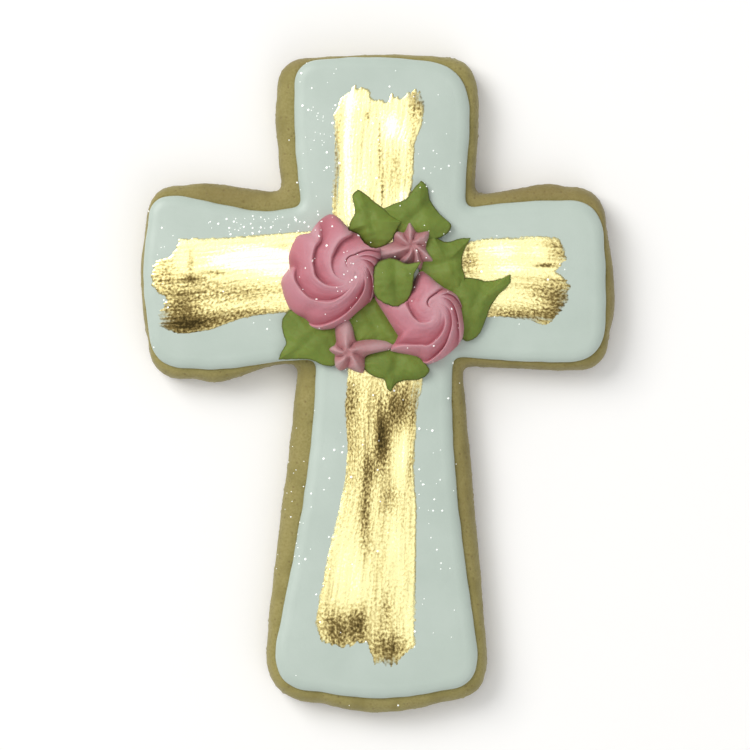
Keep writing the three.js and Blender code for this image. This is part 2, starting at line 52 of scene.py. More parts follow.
COOKIE_THICKNESS = 6.5
COOKIE_FOOT = {"inset": 0.6, "height": 2.0}
COOKIE_WALL = {"foot": 2.4, "step": 0.38, "rings": 4}
COOKIE_SHOULDER = {"least": 0.5, "most": 2.4, "drop": 2.6}
COVERED_REACH = 1.8  # how far the dough's top runs in under the icing before it is closed
COOKIE_CORNERS = [  # x, y, corner radius, bow of the next edge's first and second half
    (-17.1, 54.5, 5.2, (0.8, 0.2)),
    (-15.9, 31.9, 1.2, (0.0, 1.1)),
    (-38.7, 33.4, 5.4, (1.0, 1.0)),
    (-38.5, -0.4, 6.6, (2.6, -1.1)),
    (-13.2, 3.2, 1.4, (-0.3, 0.4)),
    (-19.6, -54.1, 8.8, (1.8, 1.7)),
    (19.1, -53.5, 6.6, (0.2, -0.1)),
    (14.3, 2.7, 1.0, (0.0, 0.3)),
    (39.1, 1.8, 5.2, (1.7, 0.6)),
    (38.3, 33.3, 5.8, (1.5, -0.4)),
    (16.4, 31.5, 1.0, (0.0, 0.5)),
    (17.1, 54.7, 5.8, (0.6, 0.1)),
]
ICING_CORNERS = [
    (-14.1, 54.1, 4.2, (0.4, 0.4)),
    (-12.7, 29.2, 1.0, (-2.1, 0.2)),
    (-38.2, 31.6, 3.6, (0.9, 0.9)),
    (-38.3, 1.8, 6.2, (1.1, -0.5)),
    (-10.1, 3.8, 1.0, (-1.5, -0.7)),
    (-18.1, -52.0, 7.2, (1.2, 1.2)),
    (17.4, -51.6, 5.6, (-0.6, -1.6)),
    (12.6, 4.2, 1.0, (0.1, 0.2)),
    (38.4, 2.9, 6.4, (0.2, 0.2)),
    (37.9, 31.0, 6.0, (0.3, 0.3)),
    (14.8, 29.2, 1.0, (-0.3, 0.3)),
    (15.9, 53.9, 8.0, (0.5, 0.4)),
]
BEND_REACH = 1.17  # reach of a corner's curve along its edges, in corner radii
CUBIC_BULGE = 0.75  # how far a cubic curve follows its two middle control points
CORNER_POINTS, EDGE_POINTS = 40, 120  # points drawn on a corner and on an edge, before they are evened
OUTLINE_PITCH = 0.42
OUTLINE_SOFTENING = 6  # passes that round the joins between curves
UNDERSIDE_PITCH = 0.8
CRUMB = {"broad": 0.16, "lumps": 0.07, "grain": 0.035, "pores": 0.3, "pore_radius": 0.3}
UNDERSIDE_HOLLOWS = {"share": 1.6, "flat": 0.12}  # most of the underside lay flat on the tray


def evened(drawn, count):
    """Evenly spaced points along a closed line."""
    lengths = [(drawn[i - 1] - point).length for i, point in enumerate(drawn)]
    pitch, even, covered = sum(lengths) / count, [], 0.0
    for i, length in enumerate(lengths):
        while len(even) < count and covered + length >= len(even) * pitch:
            even.append(drawn[i - 1].lerp(drawn[i], (len(even) * pitch - covered) / length))
        covered += length
    return even


def cross_outline(corners):
    """Evenly spaced points round a cross with rounded corners and bowed edges."""
    drawn = []
    for i, (x, y, radius, bow) in enumerate(corners):
        here = Vector((x, y, 0))
        ahead = corners[(i + 1) % len(corners)]
        before, after = Vector((*corners[i - 1][:2], 0)), Vector((*ahead[:2], 0))
        start = here + BEND_REACH * radius * (before - here).normalized()
        end = here + BEND_REACH * radius * (after - here).normalized()
        bent, bent_back = start.lerp(here, 2 / 3), end.lerp(here, 2 / 3)
        drawn += interpolate_bezier(start, bent, bent_back, end, CORNER_POINTS)[:-1]
        along = (after - here).normalized()
        outward = Vector((along.y, -along.x, 0)) / CUBIC_BULGE
        edge_end = after - BEND_REACH * ahead[2] * along
        near = end.lerp(edge_end, 1 / 3) + bow[0] * outward
        far = end.lerp(edge_end, 2 / 3) + bow[1] * outward
        drawn += interpolate_bezier(end, near, far, edge_end, EDGE_POINTS)[:-1]
    count = round(sum((drawn[i - 1] - point).length for i, point in enumerate(drawn)) / OUTLINE_PITCH)
    even = evened(drawn, count)
    for _ in range(OUTLINE_SOFTENING):
        even = [(even[i - 1] + 2 * p + even[(i + 1) % count]) / 4 for i, p in enumerate(even)]
    return even


def outward_normals(points):
    """The outward direction at each point of a counterclockwise outline."""
    steps = [points[(i + 1) % len(points)] - points[i - 1] for i in range(len(points))]
    return [Vector((step.y, -step.x, 0)).normalized() for step in steps]


def tree_of(points):
    """A lookup of the nearest of some points."""
    tree = KDTree(len(points))
    for i, point in enumerate(points):
        tree.insert(point, i)
    tree.balance()
    return tree


def stacked_rings(bm, outline, rings, place):
    """Raises a wall from an outline, ring by ring, and returns its first and last edges."""
    around = bm.verts.layers.int.new("around")
    verts = []
    for i in range(len(outline)):
        vert = bm.verts.new(place(i, *rings[0]))
        vert[around] = i
        verts.append(vert)
    first = [bm.edges.new((verts[i - 1], vert)) for i, vert in enumerate(verts)]
    edges = first
    for ring in rings[1:]:
        grown = bmesh.ops.extrude_edge_only(bm, edges=edges)["geom"]
        raised = {vert for vert in grown if isinstance(vert, bmesh.types.BMVert)}
        for vert in raised:
            vert.co = place(vert[around], *ring)
        edges = [e for e in grown if isinstance(e, bmesh.types.BMEdge) and set(e.verts) <= raised]
    return first, edges


def gridded_cap(bm, edges, pitch):
    """Closes a ring with a flat face, cuts it into a grid, and returns the points inside it."""
    rim = {vert for edge in edges for vert in edge.verts}
    (face,) = bmesh.ops.contextual_create(bm, geom=edges)["faces"]
    cut = [face, *face.edges, *face.verts]
    for axis in range(2):
        low = min(vert.co[axis] for vert in rim)
        high = max(vert.co[axis] for vert in rim)
        across = Vector((axis == 0, axis == 1, 0))
        for k in range(1, int((high - low) / pitch) + 1):
            at = across * (low + (k - 0.5) * pitch)
            cut = bmesh.ops.bisect_plane(bm, geom=cut, dist=1e-5, plane_co=at, plane_no=across)["geom"]
    verts = [vert for vert in cut if isinstance(vert, bmesh.types.BMVert)]
    return [vert for vert in verts if not any(edge.is_boundary for edge in vert.link_edges)]


surfaces = []  # of every piece so far, for what is laid on them
RAY_HEIGHT = 50  # above everything, where a ray that looks for a surface starts


def add_piece(name, bm, slot, material, *stands_for):
    """Brings a mesh modelled in the drawing's millimetres into the scene, on the cookie's body."""
    bmesh.ops.recalc_face_normals(bm, faces=bm.faces)
    surfaces.append(BVHTree.FromBMesh(bm))
    bm.transform(Matrix.Scale(0.001, 4) @ Matrix.Translation(-drawing_middle))
    for face in bm.faces:
        face.smooth = True
    data = bpy.data.meshes.new(name)
    bm.to_mesh(data)
    bm.free()
    data.materials.append(material)
    made = bpy.data.objects.new(name, data)
    bpy.context.collection.objects.link(made)
    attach(made, "root")
    if stands_for:
        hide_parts(*stands_for)


def node(tree, kind, inputs=None, **settings):
    """Adds a shader node with its settings, and sets or links its inputs."""
    made = tree.nodes.new("ShaderNode" + kind)
    for key, value in settings.items():
        setattr(made, key, value)
    for socket, value in (inputs or {}).items():
        if isinstance(value, bpy.types.NodeSocket):
            tree.links.new(value, made.inputs[socket])
        else:
            made.inputs[socket].default_value = value
    return made


def mixed(tree, share, first, second):
    """A colour between two others."""
    inputs = {0: share, 6: first, 7: second}
    return node(tree, "Mix", inputs, data_type="RGBA").outputs[2]


def ranged(tree, value, low, high, to_low=0.0, to_high=1.0):
    """A value moved from one range into another, and held there."""
    inputs = {0: value, 1: low, 2: high, 3: to_low, 4: to_high}
    return node(tree, "MapRange", inputs).outputs[0]


def combined(tree, operation, first, second):
    """Two values put through a plain sum, product or the like."""
    return node(tree, "Math", {0: first, 1: second}, operation=operation).outputs[0]


def new_material(name, roughness, **settings):
    """A material with its Principled shader: (material, tree, shader)."""
    material = bpy.data.materials.new(name)
    material.use_nodes = True
    tree = material.node_tree
    shader = tree.nodes["Principled BSDF"]
    shader.inputs["Roughness"].default_value = roughness
    for socket, value in settings.items():
        shader.inputs[socket.replace("_", " ").title()].default_value = value
    return material, tree, shader


def painted(tree, layer):
    """A value that the mesh's own points carry."""
    return node(tree, "Attribute", attribute_name=layer).outputs["Fac"]


def bumped(tree, relief, distance, strength):
    """A normal from fine relief."""
    return node(tree, "Bump", {"Height": relief, "Distance": distance, "Strength": strength}).outputs[0]


def connect(tree, shader, **inputs):
    """Links outputs to the shader's sockets."""
    for socket, output in inputs.items():
        tree.links.new(output, shader.inputs[socket.replace("_", " ").title()])


CRUMB_LIGHT = (0.355, 0.308, 0.106, 1)
CRUMB_DEEP = (0.26, 0.22, 0.066, 1)
CRUMB_BROWNED_AND_SHADED = (0.19, 0.135, 0.042, 1)
# Spots on the band painted darker: painted shade on its shaded sides and corners.
SHADED_BAND_SPOTS = [  # x, y, reach in x, reach in y, strength
    (-25.5, 31.5, 9.0, 2.6, 0.42),
    (-13.5, 54.0, 4.0, 1.6, 0.4),
    (26.0, 32.5, 12.0, 3.0, 0.55),
    (38.0, 28.0, 4.0, 4.5, 0.4),
    (39.0, 14.0, 2.8, 8.0, 0.32),
    (15.0, -14.0, 2.8, 18.0, 0.26),
    (27.0, 2.5, 12.0, 2.2, 0.24),
]

cookie_outline = cross_outline(COOKIE_CORNERS)
cookie_normals = outward_normals(cookie_outline)
icing_outline = cross_outline(ICING_CORNERS)
icing_tree = tree_of(icing_outline)
drawing_middle = Vector(
    [(min(p[k] for p in cookie_outline) + max(p[k] for p in cookie_outline)) / 2 for k in range(2)] + [0]
)

shoulders = [
    min(max(icing_tree.find(point)[2] - 0.1, COOKIE_SHOULDER["least"]), COOKIE_SHOULDER["most"])
    for point in cookie_outline
]


def patch_sum(patches, x, y):
    """How strongly some soft-edged patches cover a spot."""
    return sum(w * math.exp(-(((x - px) / rx) ** 2) - ((y - py) / ry) ** 2) for px, py, rx, ry, w in patches)


def crumb(spot):
    """Depth of the crumb at a spot: soft lumps, fine grain and scattered pores."""
    lump = noise.noise(spot * 0.22) * CRUMB["broad"] + noise.noise(spot * 0.7) * CRUMB["lumps"]
    grain = noise.noise(spot * 2.1) * CRUMB["grain"]
    nearest = noise.voronoi(spot * 0.75)[0][0]
    pore = max(0.0, 1 - nearest / CRUMB["pore_radius"]) * (0.5 + 0.5 * noise.noise(spot * 0.35))
    return lump + grain - CRUMB["pores"] * pore


def cookie_wall(i, share, inset, height):
    """A point of the cookie's side: `share` scales the shoulder at this place of the outline."""
    inward = inset + share * shoulders[i]
    return cookie_outline[i] - inward * cookie_normals[i] + Vector((0, 0, height))


foot_rings = [
    (0, COOKIE_FOOT["inset"] * (1 - math.sin(a)), COOKIE_FOOT["height"] * (1 - math.cos(a)))
    for a in [math.radians(9 * k) for k in range(11)]
]
shoulder_foot = COOKIE_THICKNESS - COOKIE_SHOULDER["drop"]
wall_rings = [(0, 0, COOKIE_WALL["foot"] + COOKIE_WALL["step"] * k) for k in range(COOKIE_WALL["rings"])]
shoulder_rings = [
    (1 - math.cos(a), 0, shoulder_foot + COOKIE_SHOULDER["drop"] * math.sin(a))
    for a in [math.radians(7.5 * k) for k in range(13)]
]
covered_rings = [(1, COVERED_REACH * k / 6, COOKIE_THICKNESS) for k in range(1, 7)]
cookie = bmesh.new()
band_shade_layer = cookie.verts.layers.float.new("painted_band_shade")
foot, top = stacked_rings(
    cookie, cookie_outline, foot_rings + wall_rings + shoulder_rings + covered_rings, cookie_wall
)
underside = gridded_cap(cookie, foot, UNDERSIDE_PITCH)
bmesh.ops.contextual_create(cookie, geom=top)
cookie.normal_update()
moved = [(vert, vert.normal * crumb(vert.co)) for vert in cookie.verts if vert.co.z > 0.05]
for vert, step in moved:
    vert.co += step
    vert.co.z = max(0.0, vert.co.z)
    vert[band_shade_layer] = patch_sum(SHADED_BAND_SPOTS, *vert.co.xy)
for vert in underside:
    vert.co.z = max(0.0, -UNDERSIDE_HOLLOWS["share"] * crumb(vert.co) - UNDERSIDE_HOLLOWS["flat"])

baked, tree, shader = new_material("baked dough", 0.82, sheen_weight=0.15)
place = node(tree, "TexCoord").outputs["Object"]
height = node(tree, "SeparateXYZ", {0: place}).outputs[2]
blotches = node(tree, "TexNoise", {"Vector": place, "Scale": 260.0, "Detail": 6.0}).outputs[0]
grain = node(tree, "TexNoise", {"Vector": place, "Scale": 2600.0, "Detail": 4.0}).outputs[0]
pores = node(tree, "TexVoronoi", {"Vector": place, "Scale": 900.0}).outputs["Distance"]
# Real browning at the foot and in blotches, plus painted shade in the listed band spots.
painted_band_shade = painted(tree, "painted_band_shade")
blotched = ranged(tree, blotches, 0.5, 0.75, 0, 0.3)
browning_and_band_shade = combined(tree, "ADD", ranged(tree, height, 0.0022, 0.0, 0, 0.85), blotched)
browning_and_band_shade = combined(tree, "ADD", browning_and_band_shade, painted_band_shade)
crumb_color = mixed(tree, ranged(tree, blotches, 0.35, 0.62), CRUMB_DEEP, CRUMB_LIGHT)
crumb_color = mixed(tree, ranged(tree, grain, 0.58, 0.36, 0, 0.55), crumb_color, CRUMB_DEEP)
# Pores darkened towards brown: painted shade in the pits.
crumb_color = mixed(tree, ranged(tree, pores, 0.22, 0.08, 0, 0.6), crumb_color, CRUMB_BROWNED_AND_SHADED)
crumb_color = mixed(tree, browning_and_band_shade, crumb_color, CRUMB_BROWNED_AND_SHADED)
relief = combined(tree, "ADD", grain, ranged(tree, pores, 0.3, 0.0, 0, -0.8))
connect(tree, shader, base_color=crumb_color, roughness=ranged(tree, grain, 0.3, 0.7, 0.92, 0.7))
connect(tree, shader, normal=bumped(tree, relief, 0.00018, 0.6))
add_piece("baked_cookie", cookie, "baked_dough", baked, "cookie")

# ---- Pale mint icing ----
# Runny sugar icing, flooded over the cookie and set smooth: it stands a little proud of the dough,
# with a puffy rim that rolls down to the cookie all round, and very slight hollows and pinholes.

ICING_THICKNESS = 1.75
ICING_TOP = COOKIE_THICKNESS + ICING_THICKNESS
ICING_RIM = {"width": 2.2, "foot": 0.3, "foot_height": 0.35}
ICING_SINK = 0.25  # how far its foot goes into the crumb
ICING_SAG = {"depth": 0.22, "reach": 1.9}  # the top falls away gently towards the rim
ICING_CAP_PITCH = 0.9
PINHOLE = {"depth": 0.12, "radius": 0.05}
MINT = (0.50, 0.585, 0.525, 1)
MINT_DEEP = (0.465, 0.55, 0.49, 1)

icing_normals = outward_normals(icing_outline)


def icing_wall(i, share, height):
    """A point of the icing's rim, which stands on a slightly wavy foot."""
    point = icing_outline[i]
    sway = 0.12 * noise.noise(point * 0.35)
    return point - (share * ICING_RIM["width"] - sway) * icing_normals[i] + Vector((0, 0, height))


rim_rings = [
    (
        1 - math.cos(a),
        COOKIE_THICKNESS
        + ICING_RIM["foot_height"]
        + (ICING_THICKNESS - ICING_RIM["foot_height"]) * math.sin(a),
    )
    for a in [math.radians(6 * k) for k in range(16)]
]
foot_share = ICING_RIM["foot"] / ICING_RIM["width"]
icing = bmesh.new()
foot, top = stacked_rings(
    icing, icing_outline, [(foot_share, COOKIE_THICKNESS - ICING_SINK)] + rim_rings, icing_wall
)
gridded_cap(icing, top, ICING_CAP_PITCH)
bmesh.ops.contextual_create(icing, geom=foot)
for vert in icing.verts:
    if vert.co.z > COOKIE_THICKNESS:
        flat = Vector((vert.co.x, vert.co.y, 0))
        lift = (vert.co.z - COOKIE_THICKNESS) / ICING_THICKNESS
        depth = icing_tree.find(flat)[2]
        sag = ICING_SAG["depth"] * math.exp(-max(0.0, depth - ICING_RIM["width"]) / ICING_SAG["reach"])
        wave = 0.09 * noise.noise(flat * 0.07) + 0.03 * noise.noise(flat * 0.3)
        pinhole = max(0.0, 1 - noise.voronoi(flat * 0.16)[0][0] / PINHOLE["radius"])
        vert.co.z += lift * (wave - sag - PINHOLE["depth"] * pinhole)

sugar = bpy.data.node_groups.new("set sugar", "ShaderNodeTree")
for name, kind, way in (
    ("Place", "NodeSocketVector", "INPUT"),
    ("Grain Scale", "NodeSocketFloat", "INPUT"),
    ("Mottle", "NodeSocketFloat", "OUTPUT"),
    ("Height", "NodeSocketFloat", "OUTPUT"),
):
    sugar.interface.new_socket(name, in_out=way, socket_type=kind)
given = sugar.nodes.new("NodeGroupInput")
fine = node(sugar, "TexNoise", {"Vector": given.outputs[0], "Scale": given.outputs[1], "Detail": 5.0})
broad_scale = combined(sugar, "MULTIPLY", given.outputs[1], 0.08)
broad = node(sugar, "TexNoise", {"Vector": given.outputs[0], "Scale": broad_scale, "Detail": 3.0})
pits = node(sugar, "TexVoronoi", {"Vector": given.outputs[0], "Scale": given.outputs[1]})
pitted = ranged(sugar, pits.outputs["Distance"], 0.0, 0.25, -0.6, 0.0)
result = sugar.nodes.new("NodeGroupOutput")
sugar.links.new(ranged(sugar, broad.outputs[0], 0.3, 0.7), result.inputs[0])
sugar.links.new(combined(sugar, "ADD", fine.outputs[0], pitted), result.inputs[1])


def set_sugar(tree, grain_scale):
    """The mottle and the fine relief of set sugar icing."""
    place = node(tree, "TexCoord").outputs["Object"]
    made = node(tree, "Group", node_tree=sugar)
    tree.links.new(place, made.inputs["Place"])
    made.inputs["Grain Scale"].default_value = grain_scale
    return made.outputs["Mottle"], made.outputs["Height"]


mint, tree, shader = new_material("pale mint icing", 0.42, coat_weight=0.12, coat_roughness=0.3)
mottle, relief = set_sugar(tree, 1800.0)
connect(tree, shader, base_color=mixed(tree, mottle, MINT_DEEP, MINT))
connect(tree, shader, normal=bumped(tree, relief, 0.00006, 0.35))
connect(tree, shader, roughness=ranged(tree, mottle, 0, 1, 0.5, 0.38))
add_piece("set_icing", icing, "pale_icing", mint, "icing")
icing_surface = surfaces[-1]

# ---- Brushed gold ----
# Edible gold paint dragged over the set icing with a stiff flat brush, one stroke on each arm: a
# very thin metallic skin with bristle lines, smoky ragged ends and gritty patches. Its colour also
# holds painted reflection: patches of thin brown paint darkened further as painted dark reflection,
# and patches of near-white painted glare.

GOLD_PITCH = 0.2
GOLD_MARGIN = {"edge": 0.3, "tip": 0.9}  # room for loose bristle marks round a stroke
GOLD_FILM = {"edge": 0.03, "body": 0.055, "edge_width": 0.35}
BRISTLES = {"spacing": 2.6, "drag": 0.16, "relief": 0.03}
GRIT_RELIEF = 0.05
BRUSH_SPAN = 14  # the brush's own measure across a stroke, whatever the stroke's width
LEAST_COVER = -0.4  # under this the icing is bare
EDGE_FRAY = 0.25  # how far the paint runs past its drawn edge
GOLD_STROKES = {
    # `side` is the free end's side of the flowers; `low` and `high` are the stroke's two edges as
    # (along, across) points, `tip` its free end as (across, along) points. Patches are (x, y, reach
    # in x, reach in y, strength): `dry` ones leave the icing bare, and the other ones darken the gold
    # as thin brown paint and painted dark reflection, or with a negative strength give painted glare.
    "upper": {
        "axis": 1,
        "side": 1,
        "root": 22.0,
        "tone": 0.06,
        "low": ((22, -5.6), (26, -6.7), (28.3, -7.6), (46.8, -7.2), (49.5, -6.6)),
        "high": ((22, 5.2), (31.5, 5.7), (35.2, 6.2), (40.1, 6.4), (42.6, 7.4), (45.1, 8.0), (49.5, 8.2)),
        "tip": (
            (-7.5, 44.0), (-6.4, 46.8), (-5.0, 48.6), (-3.9, 49.5), (-3.0, 49.2), (-2.2, 49.5),
            (-1.3, 48.6), (-0.5, 47.0), (0.5, 47.3), (1.8, 46.6), (2.3, 48.3), (3.9, 47.6),
            (5.2, 48.4), (6.4, 49.0), (7.5, 48.6), (8.4, 46.4),
        ),
        "dry": ((-7.1, 36.5, 1.1, 8.0, 0.72), (7.6, 47.6, 1.5, 1.8, 0.6), (4.2, 48.0, 2.0, 0.9, 0.5)),
        "reflection_and_thin_paint": (
            (6.9, 46.6, 1.5, 2.8, 0.55), (-6.8, 36.5, 1.0, 8.0, 0.42), (0.4, 40.0, 0.22, 5.0, 0.6),
            (0.9, 32.0, 0.2, 4.0, 0.65), (5.9, 39.0, 0.8, 6.0, 0.3), (-1.6, 44.6, 0.4, 1.0, 0.45),
            (3.0, 36.0, 2.0, 5.0, 0.16), (-4.8, 38.0, 1.1, 9.0, -0.5), (2.7, 42.6, 1.8, 2.4, -0.65),
            (-4.4, 47.0, 2.2, 1.6, -0.4), (4.4, 31.0, 1.0, 1.4, -0.6), (-2.4, 33.5, 0.9, 3.0, -0.3),
        ),
    },
    "left": {
        "axis": 0,
        "side": -1,
        "root": -10.5,
        "tone": 0.08,
        "low": ((-38.1, 8.0), (-31.5, 8.2), (-28.0, 8.7), (-23.3, 10.4), (-19.8, 11.1), (-10.5, 12.0)),
        "high": ((-38.1, 23.3), (-32.2, 23.8), (-10.5, 25.2)),
        "tip": (
            (8.0, -33.0), (9.0, -36.4), (11.4, -37.0), (12.9, -35.8), (14.0, -35.4), (14.8, -36.4),
            (16.1, -37.6), (19.1, -37.6), (20.4, -37.0), (21.0, -34.6), (22.1, -33.9), (23.6, -33.4),
            (24.5, -32.4),
        ),
        "dry": ((-36.6, 11.0, 2.4, 3.4, 0.75), (-20.0, 11.1, 8.0, 0.5, 0.4), (-33.8, 22.4, 0.7, 1.6, 0.5)),
        "reflection_and_thin_paint": (
            (-32.4, 9.6, 4.2, 2.0, 0.95), (-27.0, 10.2, 5.0, 1.3, 0.62), (-21.0, 11.5, 6.5, 0.8, 0.5),
            (-35.6, 18.0, 2.2, 3.4, 0.34), (-31.0, 17.2, 1.7, 0.6, 0.6), (-32.6, 13.4, 3.2, 2.4, 0.5),
            (-15.9, 22.7, 1.9, 0.3, 0.6), (-31.2, 20.0, 0.5, 2.0, 0.5), (-26.0, 15.0, 9.0, 2.4, 0.36),
            (-27.0, 18.3, 1.8, 0.4, 0.5), (-20.5, 20.6, 8.5, 2.3, -0.85), (-16.0, 18.8, 5.0, 1.4, -0.3),
        ),
    },
    "right": {
        "axis": 0,
        "side": 1,
        "root": 11.0,
        "tone": 0.06,
        "low": ((11.0, 11.1), (18.3, 10.9), (22.3, 10.7), (25.7, 10.2), (28.2, 9.4), (33.2, 9.1)),
        "high": ((11.0, 23.1), (15.3, 23.5), (17.6, 24.0), (27.0, 24.3), (30.5, 24.0), (33.2, 23.8)),
        "tip": (
            (9.1, 27.3), (10.2, 29.8), (13.2, 32.0), (16.1, 32.4), (17.6, 31.2), (18.6, 30.2),
            (19.6, 31.0), (20.5, 31.7), (22.6, 31.4), (24.0, 30.4),
        ),
        "dry": ((31.8, 13.0, 1.8, 4.2, 0.6), (25.0, 10.5, 6.0, 0.7, 0.6), (31.6, 21.6, 1.2, 2.2, 0.4)),
        "reflection_and_thin_paint": (
            (30.4, 13.0, 2.9, 4.2, 0.7), (24.0, 11.4, 7.0, 1.2, 0.6), (15.4, 20.0, 1.6, 3.4, 0.42),
            (30.2, 22.0, 2.2, 2.0, 0.35), (28.2, 19.5, 1.6, 0.3, 0.9), (26.0, 14.4, 4.0, 1.6, 0.3),
            (20.6, 21.6, 3.4, 1.4, -0.45), (21.4, 18.6, 2.4, 1.1, -0.4), (27.0, 21.8, 1.6, 1.4, -0.3),
        ),
    },
    "stem": {
        "axis": 1,
        "side": -1,
        "root": 3.0,
        "tone": 0.16,
        "low": (
            (-48.0, -10.2), (-43.3, -10.0), (-39.6, -10.2), (-34.5, -9.2), (-29.3, -8.4), (-25.8, -7.5),
            (-21.0, -6.2), (-15.9, -5.2), (-11.1, -4.9), (-3.7, -5.4), (3.0, -4.9),
        ),
        "high": (
            (-48.0, 6.5), (-38.7, 6.4), (-29.0, 6.5), (-21.0, 6.5), (-13.6, 6.2), (-9.9, 6.4),
            (-4.9, 6.9), (-0.7, 7.7), (3.0, 7.9),
        ),
        "tip": (
            (-10.4, -40.6), (-9.4, -43.3), (-7.4, -44.3), (-4.9, -44.1), (-2.5, -43.6), (-1.8, -43.3),
            (-1.3, -45.1), (-0.5, -47.3), (1.3, -47.5), (3.2, -47.5), (4.5, -45.9), (5.9, -44.6),
            (6.7, -44.1),
        ),
        "dry": ((6.9, -3.0, 1.4, 4.5, 0.6), (1.6, -47.4, 3.0, 1.6, 0.7), (-5.3, -2.0, 0.8, 5.0, 0.4)),
        "reflection_and_thin_paint": (
            (0.7, -9.4, 1.1, 4.8, 1.15), (3.9, -3.8, 3.0, 4.0, 0.6), (-4.3, -2.4, 1.4, 4.4, 0.4),
            (-1.9, -22.0, 0.9, 7.0, 0.5), (-1.2, -14.5, 1.2, 3.0, 0.4), (2.4, -19.6, 1.6, 2.6, 0.4),
            (-7.2, -41.2, 3.0, 3.0, 0.6), (-3.2, -40.4, 1.3, 3.0, 0.6), (2.4, -44.6, 3.2, 2.4, 0.68),
            (1.6, -38.6, 0.8, 3.0, 0.45), (-4.2, -12.0, 1.6, 6.0, 0.2), (5.4, -14.0, 0.5, 3.0, 0.4),
            (-4.4, -33.0, 2.4, 4.5, -0.35), (4.4, -12.0, 1.2, 3.5, -0.3), (3.4, -28.0, 1.6, 4.0, -0.3),
        ),
    },
}
# GOLD_GLARE is a painted highlight; GOLD_BROWN and GOLD_DARK are thin paint and painted dark reflection.
GOLD_GLARE = (1.0, 0.97, 0.78, 1)
GOLD_BRIGHT = (0.96, 0.89, 0.45, 1)
GOLD_MID = (0.69, 0.57, 0.24, 1)
GOLD_BROWN = (0.22, 0.16, 0.055, 1)
GOLD_DARK = (0.05, 0.036, 0.012, 1)


def mix(first, second, share):
    """A value between two others."""
    return first + (second - first) * share


def smooth(value, low, high):
    """0 below a range, 1 above it, and a soft step between."""
    share = min(1.0, max(0.0, (value - low) / (high - low)))
    return share * share * (3 - 2 * share)


def along_line(points, at):
    """The second coordinate of a line through points, at a given first coordinate."""
    for (x0, y0), (x1, y1) in zip(points, points[1:]):
        if at <= x1:
            return mix(y0, y1, max(0.0, (at - x0) / (x1 - x0)))
    return points[-1][1]


def icing_height(x, y):
    """Height of the set icing under a spot of the drawing."""
    hit = icing_surface.ray_cast(Vector((x, y, RAY_HEIGHT)), Vector((0, 0, -1)))[0]
    return hit.z if hit else None


def brushed(tree, brush, across, along, detail):
    """Noise from -0.5 to 0.5, at one frequency across a stroke and another along it."""
    stretched = node(tree, "Mapping", {"Vector": brush, "Scale": (across, along, 1)}).outputs[0]
    made = node(tree, "TexNoise", {"Vector": stretched, "Scale": 1.0, "Detail": detail})
    return combined(tree, "SUBTRACT", made.outputs[0], 0.5)


gold, tree, shader = new_material("brushed gold", 0.3, metallic=1.0)
brush = node(tree, "UVMap", uv_map="brush").outputs[0]
reflection_and_thin_paint = painted(tree, "reflection_and_thin_paint")
cover = painted(tree, "cover")
hair = brushed(tree, brush, 2.4, 0.11, 4.0)
fleck = brushed(tree, brush, 2.8, 2.0, 3.0)
sweep = brushed(tree, brush, 0.32, 0.06, 2.0)
uneven = combined(tree, "MULTIPLY", fleck, ranged(tree, reflection_and_thin_paint, 0.05, 0.45, 1.0, 2.1))
streaky = combined(tree, "ADD", combined(tree, "MULTIPLY", hair, 0.8), combined(tree, "MULTIPLY", sweep, 1.0))
thinness_and_reflection = combined(tree, "ADD", reflection_and_thin_paint, combined(tree, "ADD", uneven, streaky))
# From painted glare through gold to thin brown paint and painted dark reflection.
gold_color = mixed(tree, ranged(tree, thinness_and_reflection, -0.45, -0.12), GOLD_GLARE, GOLD_BRIGHT)
gold_color = mixed(tree, ranged(tree, thinness_and_reflection, 0.08, 0.42), gold_color, GOLD_MID)
gold_color = mixed(tree, ranged(tree, thinness_and_reflection, 0.38, 0.80), gold_color, GOLD_BROWN)
gold_color = mixed(tree, ranged(tree, thinness_and_reflection, 0.80, 1.30), gold_color, GOLD_DARK)
worn = combined(tree, "ADD", combined(tree, "MULTIPLY", fleck, 1.1), combined(tree, "MULTIPLY", hair, 1.1))
relief = combined(tree, "ADD", combined(tree, "MULTIPLY", hair, 0.8), fleck)
connect(tree, shader, base_color=gold_color, normal=bumped(tree, relief, 0.00007, 0.5))
connect(tree, shader, roughness=ranged(tree, thinness_and_reflection, 0.0, 0.8, 0.24, 0.5))
connect(tree, shader, alpha=ranged(tree, combined(tree, "ADD", cover, worn), 0.15, 0.75))

